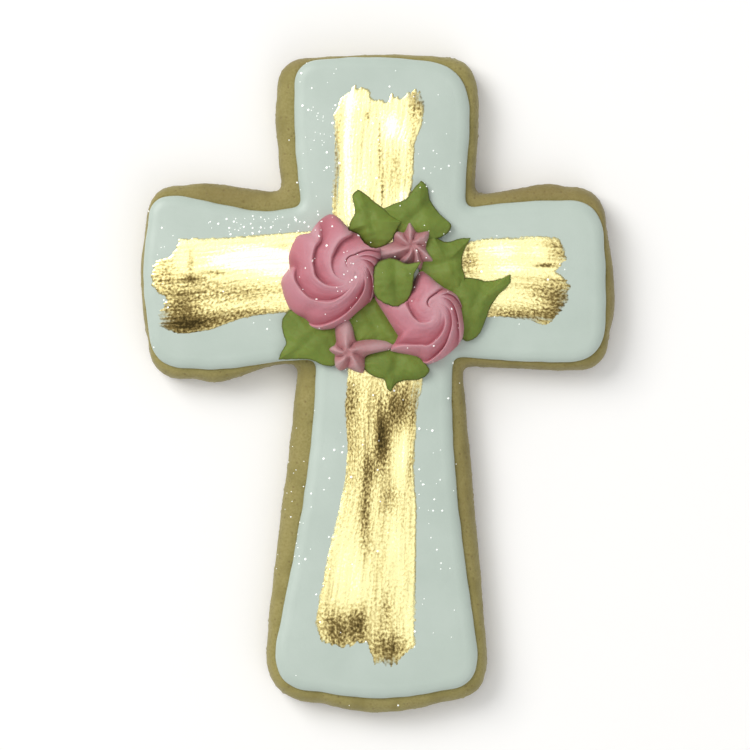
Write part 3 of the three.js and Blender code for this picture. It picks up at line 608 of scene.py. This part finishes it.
for name, stroke in GOLD_STROKES.items():
    axis, side = stroke["axis"], stroke["side"]
    tip_end = side * max(side * along for _, along in stroke["tip"])
    start, end = sorted((stroke["root"], tip_end + GOLD_MARGIN["tip"] * side))
    width = max(across for _, across in stroke["high"]) - min(across for _, across in stroke["low"])
    counts = [round(width / GOLD_PITCH), round((end - start) / GOLD_PITCH)]
    film = bmesh.new()
    reflection_and_thin_paint_layer = film.verts.layers.float.new("reflection_and_thin_paint")
    cover_layer = film.verts.layers.float.new("cover")
    place_layer = film.verts.layers.float_vector.new("stroke place")
    bmesh.ops.create_grid(film, x_segments=counts[0], y_segments=counts[1], size=0.5)
    bare = []
    for vert in film.verts:
        along = mix(start, end, vert.co.y + 0.5)
        low, high = along_line(stroke["low"], along), along_line(stroke["high"], along)
        across = mix(low - GOLD_MARGIN["edge"], high + GOLD_MARGIN["edge"], vert.co.x + 0.5)
        fan = (across - low) / (high - low)
        x, y = (across, along) if axis else (along, across)
        drag = fan * BRUSH_SPAN * BRISTLES["spacing"], along * BRISTLES["drag"], 3.7 * side + axis
        bristle = noise.noise(Vector(drag))
        fine = noise.noise(Vector((x * 1.9, y * 1.9, 0.5)))
        inside_edges = min(across - low, high - across) + 0.2 * bristle + 0.16 * fine
        inside_tip = side * (along_line(stroke["tip"], across) - along) + 0.7 * bristle + 0.3 * fine
        inside = min(inside_edges, inside_tip)
        covered = smooth(inside, -EDGE_FRAY, 0.35) - patch_sum(stroke["dry"], x, y)
        ground = icing_height(x, y)
        if covered < LEAST_COVER or inside < -EDGE_FRAY or ground is None:
            bare.append(vert)
            continue
        # Patches of thin paint and painted reflection: positive ones darken, negative ones give painted
        # glare.
        thinness_and_reflection = patch_sum(stroke["reflection_and_thin_paint"], x, y)
        body = min(1.0, max(0.0, inside) / GOLD_FILM["edge_width"])
        rise = GOLD_FILM["edge"] + body * GOLD_FILM["body"] + BRISTLES["relief"] * bristle
        rise += GRIT_RELIEF * min(1.0, max(0.1, 0.25 + thinness_and_reflection)) * noise.noise(Vector((x * 3.1, y * 3.1, 2.0)))
        vert.co = Vector((x, y, ground + max(0.02, rise)))
        vert[reflection_and_thin_paint_layer] = stroke["tone"] + thinness_and_reflection
        vert[cover_layer] = covered
        vert[place_layer] = Vector((fan * BRUSH_SPAN, along, 0))
    bmesh.ops.delete(film, geom=bare, context="VERTS")
    bmesh.ops.delete(film, geom=[v for v in film.verts if not v.link_faces], context="VERTS")
    uv = film.loops.layers.uv.new("brush")
    for face in film.faces:
        for loop in face.loops:
            loop[uv].uv = loop.vert[place_layer].xy
    film.verts.layers.float_vector.remove(film.verts.layers.float_vector["stroke place"])
    for vert in film.verts:
        if vert.is_boundary:
            vert.co.z = icing_height(*vert.co.xy) - 0.02
    add_piece(f"gold_stroke_{name}", film, "gold_paint", gold)

# ---- Piped pink flowers ----
# Two swirls and two small drop flowers, piped in stiff pink sugar icing through a star nozzle:
# ridges that overlap like roof tiles, with a sharp crest over the groove on its inner side.

FLOWER_SIDE = 3.0  # exponent of the dome's profile: higher gives steeper sides
GROOVE_SHARES = [1, 0.84, 0.68, 0.52, 0.36, 0.2]  # of the radius, where a groove's angle is given
GROOVE_STEEPNESS = 0.55  # deepest groove, as a share of its ridge's width
FLOWER_HEM = 0.12
FLOWER_SWELLS = ((0.22, 0.45), (0.05, 1.7), (0.02, 4.1))  # size and frequency of its unevenness
FLOWER_SINK = 0.5  # how far a flower's flat underside goes into the icing
RIDGE_STEPS = 34
FLOWER_RINGS = 92
RIM_SOFTENING = (-3, -1, 1, 3)  # degrees beside a direction, over which the rim's corners are rounded
ROSETTES = {
    # `rim` is the outline as (angle, radius) points joined by straight lines; each groove has its
    # angle at each of the shares, and the share at which it fades out near the peak.
    "rosette_left": {
        "centre": (-7.9, 18.4),
        "peak": (-3.7, 18.4),
        "height": 5.6,
        "depth": 1.25,
        "crest": 0.11,
        "pit": 0.0,
        "rim": (
            (62, 7.8), (73, 8.4), (80, 9.2), (88, 9.8), (94, 9.5), (100, 8.9), (110, 8.0), (116, 7.2),
            (124, 7.7), (132, 8.2), (147, 7.7), (160, 7.4), (175, 6.7), (183, 7.7), (191, 8.4), (208, 8.7),
            (223, 9.2), (232, 9.3), (241, 9.0), (251, 9.9), (260, 10.0), (273, 9.6), (287, 9.1), (303, 8.4),
            (324, 8.5), (339, 8.4), (357, 8.1), (369, 8.5), (379, 9.4), (389, 9.6), (399, 9.0), (408, 8.2),
        ),
        "grooves": (
            (20, 25, 35, 45, 62, 108, 0.10),
            (59, 63, 74, 94, 137, 235, 0.20),
            (102, 106, 124, 186, 232, 265, 0.24),
            (173, 177, 229, 257, 277, 310, 0.34),
            (241, 278, 309, 330, 350, 388, 0.40),
            (319, 337, 352, 366, 385, 422, 0.45),
            (360, 365, 374, 384, 402, 440, 0.35),
            (372, 377, 385, 396, 411, 450, 0.30),
        ),
    },
    "rosette_right": {
        "centre": (8.0, 10.7),
        "peak": (9.3, 12.3),
        "height": 5.2,
        "depth": 1.15,
        "crest": 0.11,
        "pit": 0.0,
        "rim": (
            (60, 6.0), (74, 6.4), (84, 7.2), (95, 8.2), (104, 6.8), (118, 5.4), (132, 5.2), (146, 7.2),
            (155, 9.8), (160, 9.0), (180, 6.5), (200, 5.7), (217, 5.7), (221, 8.4), (228, 7.7), (249, 6.8),
            (261, 6.8), (266, 7.4), (272, 7.9), (283, 7.6), (294, 7.4), (307, 7.2), (320, 7.2), (333, 7.2),
            (348, 6.8), (363, 6.5), (380, 6.6), (394, 6.7), (406, 6.3),
        ),
        "grooves": (
            (57, 59, 63, 69, 83, 114, 0.02),
            (122, 128, 139, 154, 218, 285, 0.20),
            (218, 227, 274, 312, 343, 380, 0.34),
            (262, 297, 321, 366, 395, 425, 0.42),
            (318, 338, 386, 410, 420, 445, 0.50),
            (368, 402, 411, 418, 430, 460, 0.55),
        ),
    },
}
DROP_FLOWERS = {
    # The grooves between the arms are given by their angle at the rim; inwards they all turn alike.
    "star_top": {
        "centre": (5.9, 22.8),
        "height": 3.3,
        "depth": 0.85,
        "crest": 0.45,
        "pit": 0.7,
        "twist": 24,
        "between": (74, 123, 168, 228, 274, 303, 352),
        "rim": (
            (74, 2.4), (86, 3.1), (97, 4.3), (106, 3.4), (114, 2.8), (123, 2.6), (135, 3.4), (146, 4.0),
            (157, 3.5), (168, 3.3), (176, 4.0), (182, 6.0), (187, 8.0), (198, 8.4), (207, 7.2), (215, 4.8),
            (228, 3.6), (243, 3.5), (258, 3.4), (270, 3.0), (281, 3.6), (288, 4.6), (296, 4.0), (306, 3.6),
            (318, 4.4), (325, 4.9), (331, 3.5), (343, 2.5), (365, 2.3), (384, 3.0), (401, 4.2), (410, 3.4),
            (422, 2.5),
        ),
    },
    "star_bottom": {
        "centre": (-4.8, 4.9),
        "height": 3.6,
        "depth": 1.0,
        "crest": 0.45,
        "pit": 0.6,
        "twist": 26,
        "between": (55, 140, 194, 266, 341),
        "rim": (
            (55, 2.3), (68, 2.9), (80, 4.6), (90, 6.2), (101, 6.6), (112, 6.2), (124, 4.2), (137, 2.9),
            (151, 2.6), (162, 3.1), (171, 3.5), (180, 2.9), (189, 2.2), (206, 2.6), (226, 3.2), (243, 3.4),
            (255, 3.0), (266, 2.5), (287, 3.2), (305, 4.3), (322, 3.7), (340, 3.0), (349, 3.0), (358, 4.1),
            (363, 6.4), (366, 9.2), (376, 7.2), (386, 5.5), (399, 3.8),
        ),
    },
}
for drop in DROP_FLOWERS.values():
    drop["peak"] = drop["centre"]
    drop["grooves"] = [
        [angle + drop["twist"] * (1 - share) ** 1.6 for share in GROOVE_SHARES] + [0.1]
        for angle in drop["between"]
    ]
# The icing's colour on a crest, on the ridge beside it, lower down, and in the groove: a painted
# highlight on the crests and painted shade, darker and redder, down into the grooves.
SWIRL_PINKS = [(0.58, 0.31, 0.35, 1), (0.55, 0.245, 0.29, 1), (0.53, 0.19, 0.23, 1), (0.40, 0.11, 0.14, 1)]
# The drop flowers' colours are a darker copy of the swirls': painted shade for their lower, less lit place.
SHADED_DROP_PINKS = [(0.50, 0.31, 0.32, 1), (0.45, 0.235, 0.245, 1), (0.42, 0.18, 0.19, 1), (0.33, 0.12, 0.13, 1)]


def rim_radius(rim, angle):
    """Radius of an outline of straight edges in a direction."""
    angle = (angle - rim[0][0]) % 360 + rim[0][0]
    closed = [*rim, (rim[0][0] + 360, rim[0][1])]
    for (a0, r0), (a1, r1) in zip(closed, closed[1:]):
        if angle <= a1:
            back, ahead, turn = (math.sin(math.radians(a)) for a in (angle - a0, a1 - angle, a1 - a0))
            return r0 * r1 * turn / (r0 * back + r1 * ahead)
    return closed[-1][1]


def soft_radius(rim, angle):
    """The same radius with the outline's corners rounded."""
    return sum(rim_radius(rim, angle + turn) for turn in RIM_SOFTENING) / len(RIM_SOFTENING)


def groove_angle(groove, share):
    """Where a groove runs at a share of the radius, along a smooth curve through its given angles."""
    step = (1 - share) / (GROOVE_SHARES[0] - GROOVE_SHARES[1])
    k = min(int(step), len(GROOVE_SHARES) - 2)
    t = step - k
    p1, p2 = groove[k], groove[k + 1]
    if t > 1:
        return p2 + (p2 - p1) * (t - 1)
    p0 = groove[k - 1] if k else 2 * p1 - p2
    p3 = groove[k + 2] if k + 2 < len(GROOVE_SHARES) else 2 * p2 - p1
    bend = (2 * p0 - 5 * p1 + 4 * p2 - p3) * t * t + (3 * p1 - p0 - 3 * p2 + p3) * t**3
    return p1 + 0.5 * ((p2 - p0) * t + bend)


def ridge(across, crest):
    """Height across one ridge: 0 in the groove, a steep rise to the crest, then a hollow fall."""
    if across < crest:
        return math.sin(math.pi / 2 * across / crest) ** 0.8
    left = (1 - across) / (1 - crest)
    return mix(left**1.4, smooth(left, 0, 1), 0.45)


def uneven_by(swells, spot):
    """Unevenness at a spot from noises, each with its size and its frequency."""
    return sum(size * noise.noise(spot * frequency) for size, frequency in swells)


def spun(bm, spoke, steps):
    """Turns a line of points through a full circle, and merges what meets."""
    lines = [bm.edges.new(pair) for pair in zip(spoke, spoke[1:])]
    bmesh.ops.spin(
        bm, geom=spoke + lines, axis=(0, 0, 1), cent=(0, 0, 0), angle=2 * math.pi, steps=steps, use_merge=True
    )
    bmesh.ops.remove_doubles(bm, verts=bm.verts, dist=1e-6)


def piped_pink(name, crest, beside, lower, groove):
    """Stiff pink sugar icing, with a painted highlight on its crests and painted shade, darker and redder, in
    its grooves.
    """
    material, tree, shader = new_material(
        name, 0.55, sheen_weight=0.1, subsurface_weight=0.3, subsurface_scale=0.0012
    )
    shader.inputs["Specular IOR Level"].default_value = 0.35
    shader.inputs["Subsurface Radius"].default_value = (1.0, 0.45, 0.4)
    grooved = painted(tree, "grooved")
    mottle, relief = set_sugar(tree, 2400.0)
    color = mixed(tree, ranged(tree, grooved, 0.0, 0.2), crest, beside)
    color = mixed(tree, ranged(tree, grooved, 0.2, 0.65), color, lower)
    color = mixed(tree, ranged(tree, grooved, 0.75, 1.0), color, groove)
    color = mixed(tree, ranged(tree, mottle, 0.3, 1.0, 0, 0.3), color, lower)
    connect(tree, shader, base_color=color, normal=bumped(tree, relief, 0.0001, 0.6))
    connect(tree, shader, roughness=ranged(tree, mottle, 0, 1, 0.66, 0.5))
    return material


swirl_pink = piped_pink("piped pink icing", *SWIRL_PINKS)
shaded_drop_pink = piped_pink("pink icing in painted shade", *SHADED_DROP_PINKS)

for name, spec in (ROSETTES | DROP_FLOWERS).items():
    rim, first = spec["rim"], spec["grooves"][0]
    grooves = [*spec["grooves"], [*(angle + 360 for angle in first[:-1]), first[-1]]]
    ridges = len(spec["grooves"])
    mean_radius = sum(rim_radius(rim, 3 * a) for a in range(120)) / 120
    flower = bmesh.new()
    grooved_layer = flower.verts.layers.float.new("grooved")
    shares = [math.sin(math.pi / 2 * k / FLOWER_RINGS) for k in range(FLOWER_RINGS + 1)]
    spoke = [flower.verts.new((share, 0, 1)) for share in shares]
    spoke += [flower.verts.new((1, 0, 0)), flower.verts.new((0, 0, 0))]
    spun(flower, spoke, RIDGE_STEPS * ridges)
    for vert in flower.verts:
        share = min(1.0, vert.co.xy.length)
        around = math.atan2(vert.co.y, vert.co.x) / (2 * math.pi) % 1 * ridges
        k = min(int(around + 1e-6), ridges - 1)
        across = max(0.0, around - k)
        before, after = grooves[k], grooves[k + 1]
        angles = groove_angle(before, share), groove_angle(after, share)
        angle = mix(*angles, across)
        reach = share * mix(mean_radius, soft_radius(rim, angle), share**2)
        middle = [mix(spec["peak"][i], spec["centre"][i], share) for i in range(2)]
        x = middle[0] + reach * math.cos(math.radians(angle))
        y = middle[1] + reach * math.sin(math.radians(angle))
        if vert.co.z < 0.5:
            vert.co = Vector((x, y, ICING_TOP - FLOWER_SINK))
            continue
        dome = spec["height"] * (1 - share**FLOWER_SIDE) ** (1 / FLOWER_SIDE)
        fades = [smooth(share, groove[-1] - 0.03, groove[-1] + 0.22) for groove in (before, after)]
        sunk = (1 - ridge(across, spec["crest"])) * mix(*fades, across)
        swirl = math.radians(groove_angle(before, max(0.0, share - 0.1)) - angles[0]) / 0.1
        width = math.radians(angles[1] - angles[0]) * reach / math.hypot(1, swirl * share)
        depth = min(spec["depth"], GROOVE_STEEPNESS * width) * sunk * (dome / spec["height"]) ** 0.5
        pit = spec["pit"] * math.exp(-((share / 0.2) ** 2))
        place = Vector((x, y, dome))
        strand = noise.noise(Vector((around * 7.0, share * 1.5, ridges)))
        strands = 0.035 * min(width, 3.0) * strand * smooth(share, 0.1, 0.4)
        unevenness = uneven_by(FLOWER_SWELLS, place)
        height = dome - depth - pit + (strands + unevenness) * smooth(share, 1.0, 0.8)
        vert.co = Vector((x, y, ICING_TOP + max(FLOWER_HEM * (1 - share), height) - 0.05 * share))
        # How deep in a groove or the centre pit a point lies: it sets the painted highlight and painted
        # shade.
        vert[grooved_layer] = max(sunk * smooth(width, 0.1, 1.2), min(1.0, pit))
    pink = swirl_pink if name in ROSETTES else shaded_drop_pink
    add_piece(f"piped_{name}", flower, "pink_icing", pink, name)

# ---- Piped green leaves ----
# Eight leaves of the same sugar icing, coloured olive green, piped between and round the flowers:
# thin wavy sheets with a soft furrow along the vein, pulled out into points at their tips.

LEAF_THICKNESS = 0.55  # at the rim
LEAF_FOOT = (0.3, 1.0)  # shares of the radius between which the underside rises off the icing
VEIN = {"depth": 0.6, "width": 0.9}
WAVE = {"height": 0.25, "count": 2}
POINTED_TURN = (45, 100)  # a corner that turns more than this is rounded less, then hardly at all
LEAF_SPOKES = 220
LEAF_RINGS = 30
LEAF_SWELLS = ((0.42, 0.33), (0.10, 1.1), (0.03, 3.1))
LEAF_SINK = 0.15  # how far a leaf's foot goes into the icing
LAPPING_LEAVES = ("leaf_centre", "leaf_top_left")  # they lie on the flowers beside them
PRESSED_GAP = 0.05
LEAVES = {  # hub, lift at the hub, lift at the rim, direction of the vein, outline
    "leaf_centre": (
        (3.2, 16.6), 4.8, 3.6, 95,
        ((-0.2, 19.4), (1.3, 20.4), (2.8, 20.5), (4.8, 19.7), (7.3, 20.0), (6.1, 17.9), (5.8, 15.6),
         (4.9, 13.6), (3.2, 12.7), (1.3, 13.2), (-0.3, 14.6), (-0.5, 17.0)),
    ),
    "leaf_top_left": (
        (-0.9, 26.6), 3.0, 0.9, 102,
        ((-4.0, 31.2), (-3.1, 32.0), (-1.5, 31.0), (-0.2, 29.8), (1.2, 28.8), (2.5, 27.6), (4.1, 26.8),
         (3.1, 25.2), (2.3, 23.7), (0.0, 22.4), (-2.0, 23.2), (-3.0, 24.7), (-4.6, 25.4), (-4.4, 26.7),
         (-3.6, 28.2)),
    ),
    "leaf_top_right": (
        (6.9, 28.2), 2.3, 0.6, 40,
        ((7.4, 33.5), (8.3, 32.7), (8.8, 30.4), (10.3, 28.2), (12.3, 26.3), (12.1, 25.4), (10.2, 24.1),
         (7.4, 24.0), (5.0, 24.6), (2.2, 25.2), (0.9, 28.8), (2.9, 29.7), (5.0, 30.6), (6.0, 32.0)),
    ),
    "leaf_right_upper": (
        (11.6, 19.9), 2.4, 0.6, 15,
        ((9.2, 24.8), (10.7, 23.6), (11.9, 23.3), (13.8, 23.9), (15.6, 24.0), (14.4, 21.7), (14.1, 19.7),
         (14.6, 17.6), (14.4, 14.4), (11.6, 14.6), (9.2, 15.8), (7.2, 17.2), (7.2, 19.3), (7.2, 21.7),
         (7.9, 23.2)),
    ),
    "leaf_right_lower": (
        (16.6, 13.4), 2.5, 0.6, 70,
        ((13.4, 17.4), (16.2, 17.2), (18.2, 16.8), (20.3, 17.1), (22.2, 17.9), (22.2, 16.6), (20.3, 14.6),
         (19.0, 12.8), (18.2, 10.7), (17.2, 8.3), (16.2, 7.3), (15.0, 6.9), (13.4, 8.2), (12.9, 12.6),
         (12.6, 15.0)),
    ),
    "leaf_lower_centre": (
        (-0.4, 9.6), 2.4, 0.8, 120,
        ((-0.2, 14.3), (2.2, 10.5), (4.2, 7.2), (3.8, 5.9), (1.6, 6.2), (-0.4, 6.6), (-3.9, 6.0),
         (-4.4, 8.9), (-5.2, 10.8), (-2.4, 12.8)),
    ),
    "leaf_bottom": (
        (3.0, 2.3), 2.2, 0.6, 75,
        ((-2.6, 3.4), (-0.8, 5.0), (1.1, 5.9), (3.7, 5.6), (6.0, 4.9), (7.2, 3.9), (8.6, 2.2), (8.3, 1.2),
         (6.6, 0.4), (4.5, 0.4), (3.2, -0.2), (2.3, -1.5), (1.8, -1.1), (1.3, 0.4), (-0.4, 1.0), (-1.8, 1.9)),
    ),
    "leaf_left_bottom": (
        (-11.4, 6.9), 2.2, 0.6, 40,
        ((-14.4, 12.0), (-11.0, 11.2), (-7.5, 9.8), (-6.2, 8.2), (-6.0, 4.4), (-7.1, 2.9), (-8.7, 2.8),
         (-11.1, 3.8), (-13.5, 3.9), (-16.4, 3.8), (-16.0, 4.9), (-15.1, 6.6), (-15.7, 8.4), (-15.7, 10.4)),
    ),
}
LEAF_GREEN = (0.140, 0.198, 0.030, 1)
LEAF_LIGHT = (0.190, 0.262, 0.042, 1)
LEAF_DARK = (0.075, 0.09, 0.016, 1)


def leaf_outline(corners, count):
    """Evenly spaced points, counterclockwise, on a closed curve through a leaf's corners."""
    total = len(corners)
    places = [Vector((*corner, 0)) for corner in corners]
    tangents = []
    for i, here in enumerate(places):
        back, ahead = here - places[i - 1], places[(i + 1) % total] - here
        turn = math.degrees(back.angle(ahead))
        roundness = 1 - 0.9 * smooth(turn, *POINTED_TURN)
        d0, d1 = math.sqrt(back.length), math.sqrt(ahead.length)
        tangents.append(roundness * (back / d0 - (back + ahead) / (d0 + d1) + ahead / d1))
    drawn = []
    for i, here in enumerate(places):
        after = places[(i + 1) % total]
        reach = math.sqrt((after - here).length) / 3
        leave, arrive = here + tangents[i] * reach, after - tangents[(i + 1) % total] * reach
        drawn += interpolate_bezier(here, leave, arrive, after, CORNER_POINTS)[:-1]
    turn = sum(drawn[i - 1].x * p.y - p.x * drawn[i - 1].y for i, p in enumerate(drawn))
    if turn < 0:
        drawn.reverse()
    return evened(drawn, count)


def press_flowers(leaf):
    """Pushes the flowers' icing down under a leaf that lies on them."""
    above = BVHTree.FromBMesh(leaf)
    for name in ROSETTES | DROP_FLOWERS:
        for vert in bpy.data.objects[f"piped_{name}"].data.vertices:
            spot = vert.co * 1000 + drawing_middle
            underside = above.ray_cast(Vector((*spot.xy, 0)), Vector((0, 0, 1)))[0]
            if underside:
                vert.co.z = min(spot.z, underside.z - PRESSED_GAP) / 1000


green, tree, shader = new_material("piped green icing", 0.5, subsurface_weight=0.2, subsurface_scale=0.0008)
shader.inputs["Specular IOR Level"].default_value = 0.3
rim_shade = painted(tree, "rim_shade")
mottle, relief = set_sugar(tree, 2200.0)
green_color = mixed(tree, mottle, LEAF_GREEN, LEAF_LIGHT)
# Painted shade: each leaf's rim is darker green, most of all low on its edge.
green_color = mixed(tree, rim_shade, green_color, LEAF_DARK)
connect(tree, shader, base_color=green_color, normal=bumped(tree, relief, 0.0001, 0.6))
connect(tree, shader, roughness=ranged(tree, mottle, 0, 1, 0.68, 0.5))

for name, (hub, lift, rim, vein, corners) in LEAVES.items():
    outline = leaf_outline(corners, LEAF_SPOKES)
    hub = Vector((*hub, 0))
    across_vein = Vector((-math.sin(math.radians(vein)), math.cos(math.radians(vein)), 0))
    along_vein = Vector((across_vein.y, -across_vein.x, 0))
    leaf = bmesh.new()
    rim_shade_layer = leaf.verts.layers.float.new("rim_shade")
    shares = [(k / LEAF_RINGS) ** 0.8 for k in range(LEAF_RINGS + 1)]
    spoke = [leaf.verts.new((share, 0, 1)) for share in shares]
    spoke += [leaf.verts.new((1.0, 0, face)) for face in (0.8, 0.5, 0.2)]
    spoke += [leaf.verts.new((share, 0, 0)) for share in reversed(shares)]
    spun(leaf, spoke, LEAF_SPOKES)
    for vert in leaf.verts:
        share, face = min(1.0, vert.co.xy.length), vert.co.z
        i = round(math.atan2(vert.co.y, vert.co.x) / (2 * math.pi) * LEAF_SPOKES) % LEAF_SPOKES
        away = (outline[i] - hub) * share
        spot = hub + away
        rounding = 0.12 * math.sin(math.pi * face) if share > 0.99 and 0 < face < 1 else 0.0
        ragged = share**6 * (0.10 * noise.noise(outline[i] * 1.3) + 0.07 * noise.noise(outline[i] * 3.4))
        spot += (outline[i] - hub).normalized() * (rounding + ragged)
        off = away.dot(across_vein)
        furrow = VEIN["depth"] * math.exp(-((off / VEIN["width"]) ** 2)) * (1 - 0.6 * share)
        wave = WAVE["height"] * share**2 * math.sin(WAVE["count"] * 2 * math.pi * i / LEAF_SPOKES)
        ripple = 0.08 * math.sin(away.dot(along_vein) * 4.2 + 0.8 * abs(off) + 3 * noise.noise(spot * 0.3))
        swell = uneven_by(LEAF_SWELLS, spot)
        rise = mix(lift, rim + LEAF_THICKNESS, share**2) - furrow + wave
        rise += (ripple * share + swell) * (1 - 0.5 * share)
        upper = ICING_TOP + max(rise, LEAF_THICKNESS)
        lower = mix(ICING_TOP - LEAF_SINK, upper - LEAF_THICKNESS, smooth(share, *LEAF_FOOT))
        spot.z = mix(lower, upper, face)
        vert.co = spot
        # Painted shade at the rim, darker low on the edge.
        vert[rim_shade_layer] = smooth(share, 0.95, 1.0) * (1 - 0.35 * face)
    if name in LAPPING_LEAVES:
        press_flowers(leaf)
    add_piece(f"piped_{name}", leaf, "green_icing", green, name)

# ---- Loose glitter ----
# Edible glitter shaken over the finished cookie: tiny clear hexagonal flakes that lie at all
# angles wherever they fell, thickest beside the gold strokes and on the flowers.

GLITTER_SEED = 41
FLAKE_RADIUS = (0.08, 0.24)
FLAKE_THICKNESS = 0.03
GLITTER_DRIFTS = [  # x, y, spread in x and in y, flakes
    (-21.0, 26.3, 4.6, 0.8, 50),
    (-9.9, 39.0, 1.6, 7.0, 30),
    (-12.4, -19.8, 1.6, 6.0, 26),
    (-7.0, 46.0, 3.0, 3.0, 16),
    (9.0, 36.0, 1.6, 7.0, 14),
    (8.6, -20.0, 1.4, 6.0, 12),
    (0.0, 16.0, 8.0, 8.0, 70),
    (-35.5, 15.0, 1.6, 8.0, 12),
    (0.0, 20.0, 26.0, 9.0, 60),
    (0.0, -20.0, 11.0, 20.0, 60),
    (0.0, 44.0, 10.0, 7.0, 30),
]


def surface_under(x, y):
    """The highest point and its normal under a spot of the drawing, or nothing beside the cookie."""
    hits = [tree.ray_cast(Vector((x, y, RAY_HEIGHT)), Vector((0, 0, -1)))[:2] for tree in surfaces]
    hits = [(spot, normal) for spot, normal in hits if spot]
    return max(hits, key=lambda hit: hit[0].z) if hits else (None, None)


shaker = random.Random(GLITTER_SEED)
glitter = bmesh.new()
for x, y, reach_x, reach_y, count in GLITTER_DRIFTS:
    for _ in range(count):
        at = shaker.gauss(x, reach_x), shaker.gauss(y, reach_y)
        radius = mix(*FLAKE_RADIUS, shaker.random() ** 3)
        tilt = Vector((shaker.gauss(0, 0.18), shaker.gauss(0, 0.18), 0))
        spot, normal = surface_under(*at)
        if spot is None or spot.z < COOKIE_THICKNESS - 2:
            continue
        facing = (normal + tilt).normalized().to_track_quat("Z", "Y").to_matrix().to_4x4()
        lift = Matrix.Translation(spot + normal * (0.02 + 0.25 * radius))
        bmesh.ops.create_cone(
            glitter, segments=6, radius1=radius, radius2=radius, depth=FLAKE_THICKNESS, cap_ends=True,
            matrix=lift @ facing,
        )
# The flakes glow faintly: a painted glint.
sparkle, tree, shader = new_material("clear glitter", 0.15, coat_weight=0.5, emission_strength=0.5)
tint = node(tree, "TexNoise", {"Vector": node(tree, "TexCoord").outputs["Object"], "Scale": 900.0}).outputs[0]
glint = mixed(tree, tint, (0.93, 0.97, 0.95, 1), (1, 1, 0.95, 1))
connect(tree, shader, base_color=glint, emission_color=glint)
add_piece("glitter_flakes", glitter, "clear_glitter", sparkle)

# ---- Camera, light and floor ----
# The camera looks straight down from far above, as the photograph does, over a plain pale floor
# under soft lamps: a large one high on the upper left, a weaker one opposite, and two overhead
# that the gold reflects.

PICTURE_WIDTH = 0.12576
PICTURE_CENTRE = (-0.00052, 0.00143)
CAMERA_HEIGHT = 0.9
WORLD_STRENGTH = 0.42
LAMPS = [  # place, size, power, colour
    ((-0.85, 0.68, 1.1), 0.9, 15.6, (1.0, 0.985, 0.96)),
    ((0.5, -0.85, 0.9), 1.0, 3.0, (1.0, 0.99, 0.98)),
    ((0.0, 0.0, 1.35), 0.9, 1.9, (1.0, 0.99, 0.97)),
    ((-0.26, 0.24, 1.2), 0.42, 0.55, (1.0, 1.0, 1.0)),
]

camera = bpy.data.objects.new("camera", bpy.data.cameras.new("camera"))
camera.location = (*PICTURE_CENTRE, CAMERA_HEIGHT)
camera.data.sensor_width = 36
camera.data.lens = 36 * (CAMERA_HEIGHT - 0.0065) / PICTURE_WIDTH
bpy.context.collection.objects.link(camera)
scene = bpy.context.scene
scene.camera = camera
scene.view_settings.view_transform = "Standard"

scene.world = bpy.data.worlds.new("soft white room")
scene.world.use_nodes = True
backdrop = scene.world.node_tree.nodes["Background"]
backdrop.inputs["Color"].default_value = (1, 1, 1, 1)
backdrop.inputs["Strength"].default_value = WORLD_STRENGTH
for i, (spot, size, power, color) in enumerate(LAMPS):
    lamp = bpy.data.objects.new(f"soft_lamp_{i}", bpy.data.lights.new(f"soft_lamp_{i}", "AREA"))
    lamp.data.size, lamp.data.energy, lamp.data.color = size, power, color
    lamp.location = spot
    lamp.rotation_mode = "QUATERNION"
    lamp.rotation_quaternion = Vector(spot).to_track_quat("Z", "Y")
    bpy.context.collection.objects.link(lamp)

table = bmesh.new()
bmesh.ops.create_grid(table, x_segments=8, y_segments=8, size=3.0)
floor_data = bpy.data.meshes.new("floor")
table.to_mesh(floor_data)
table.free()
floor = bpy.data.objects.new("floor", floor_data)
bpy.context.collection.objects.link(floor)
paper, tree, shader = new_material("pale paper", 0.9)
shader.inputs["Base Color"].default_value = (0.97, 0.97, 0.965, 1)
floor_data.materials.append(paper)
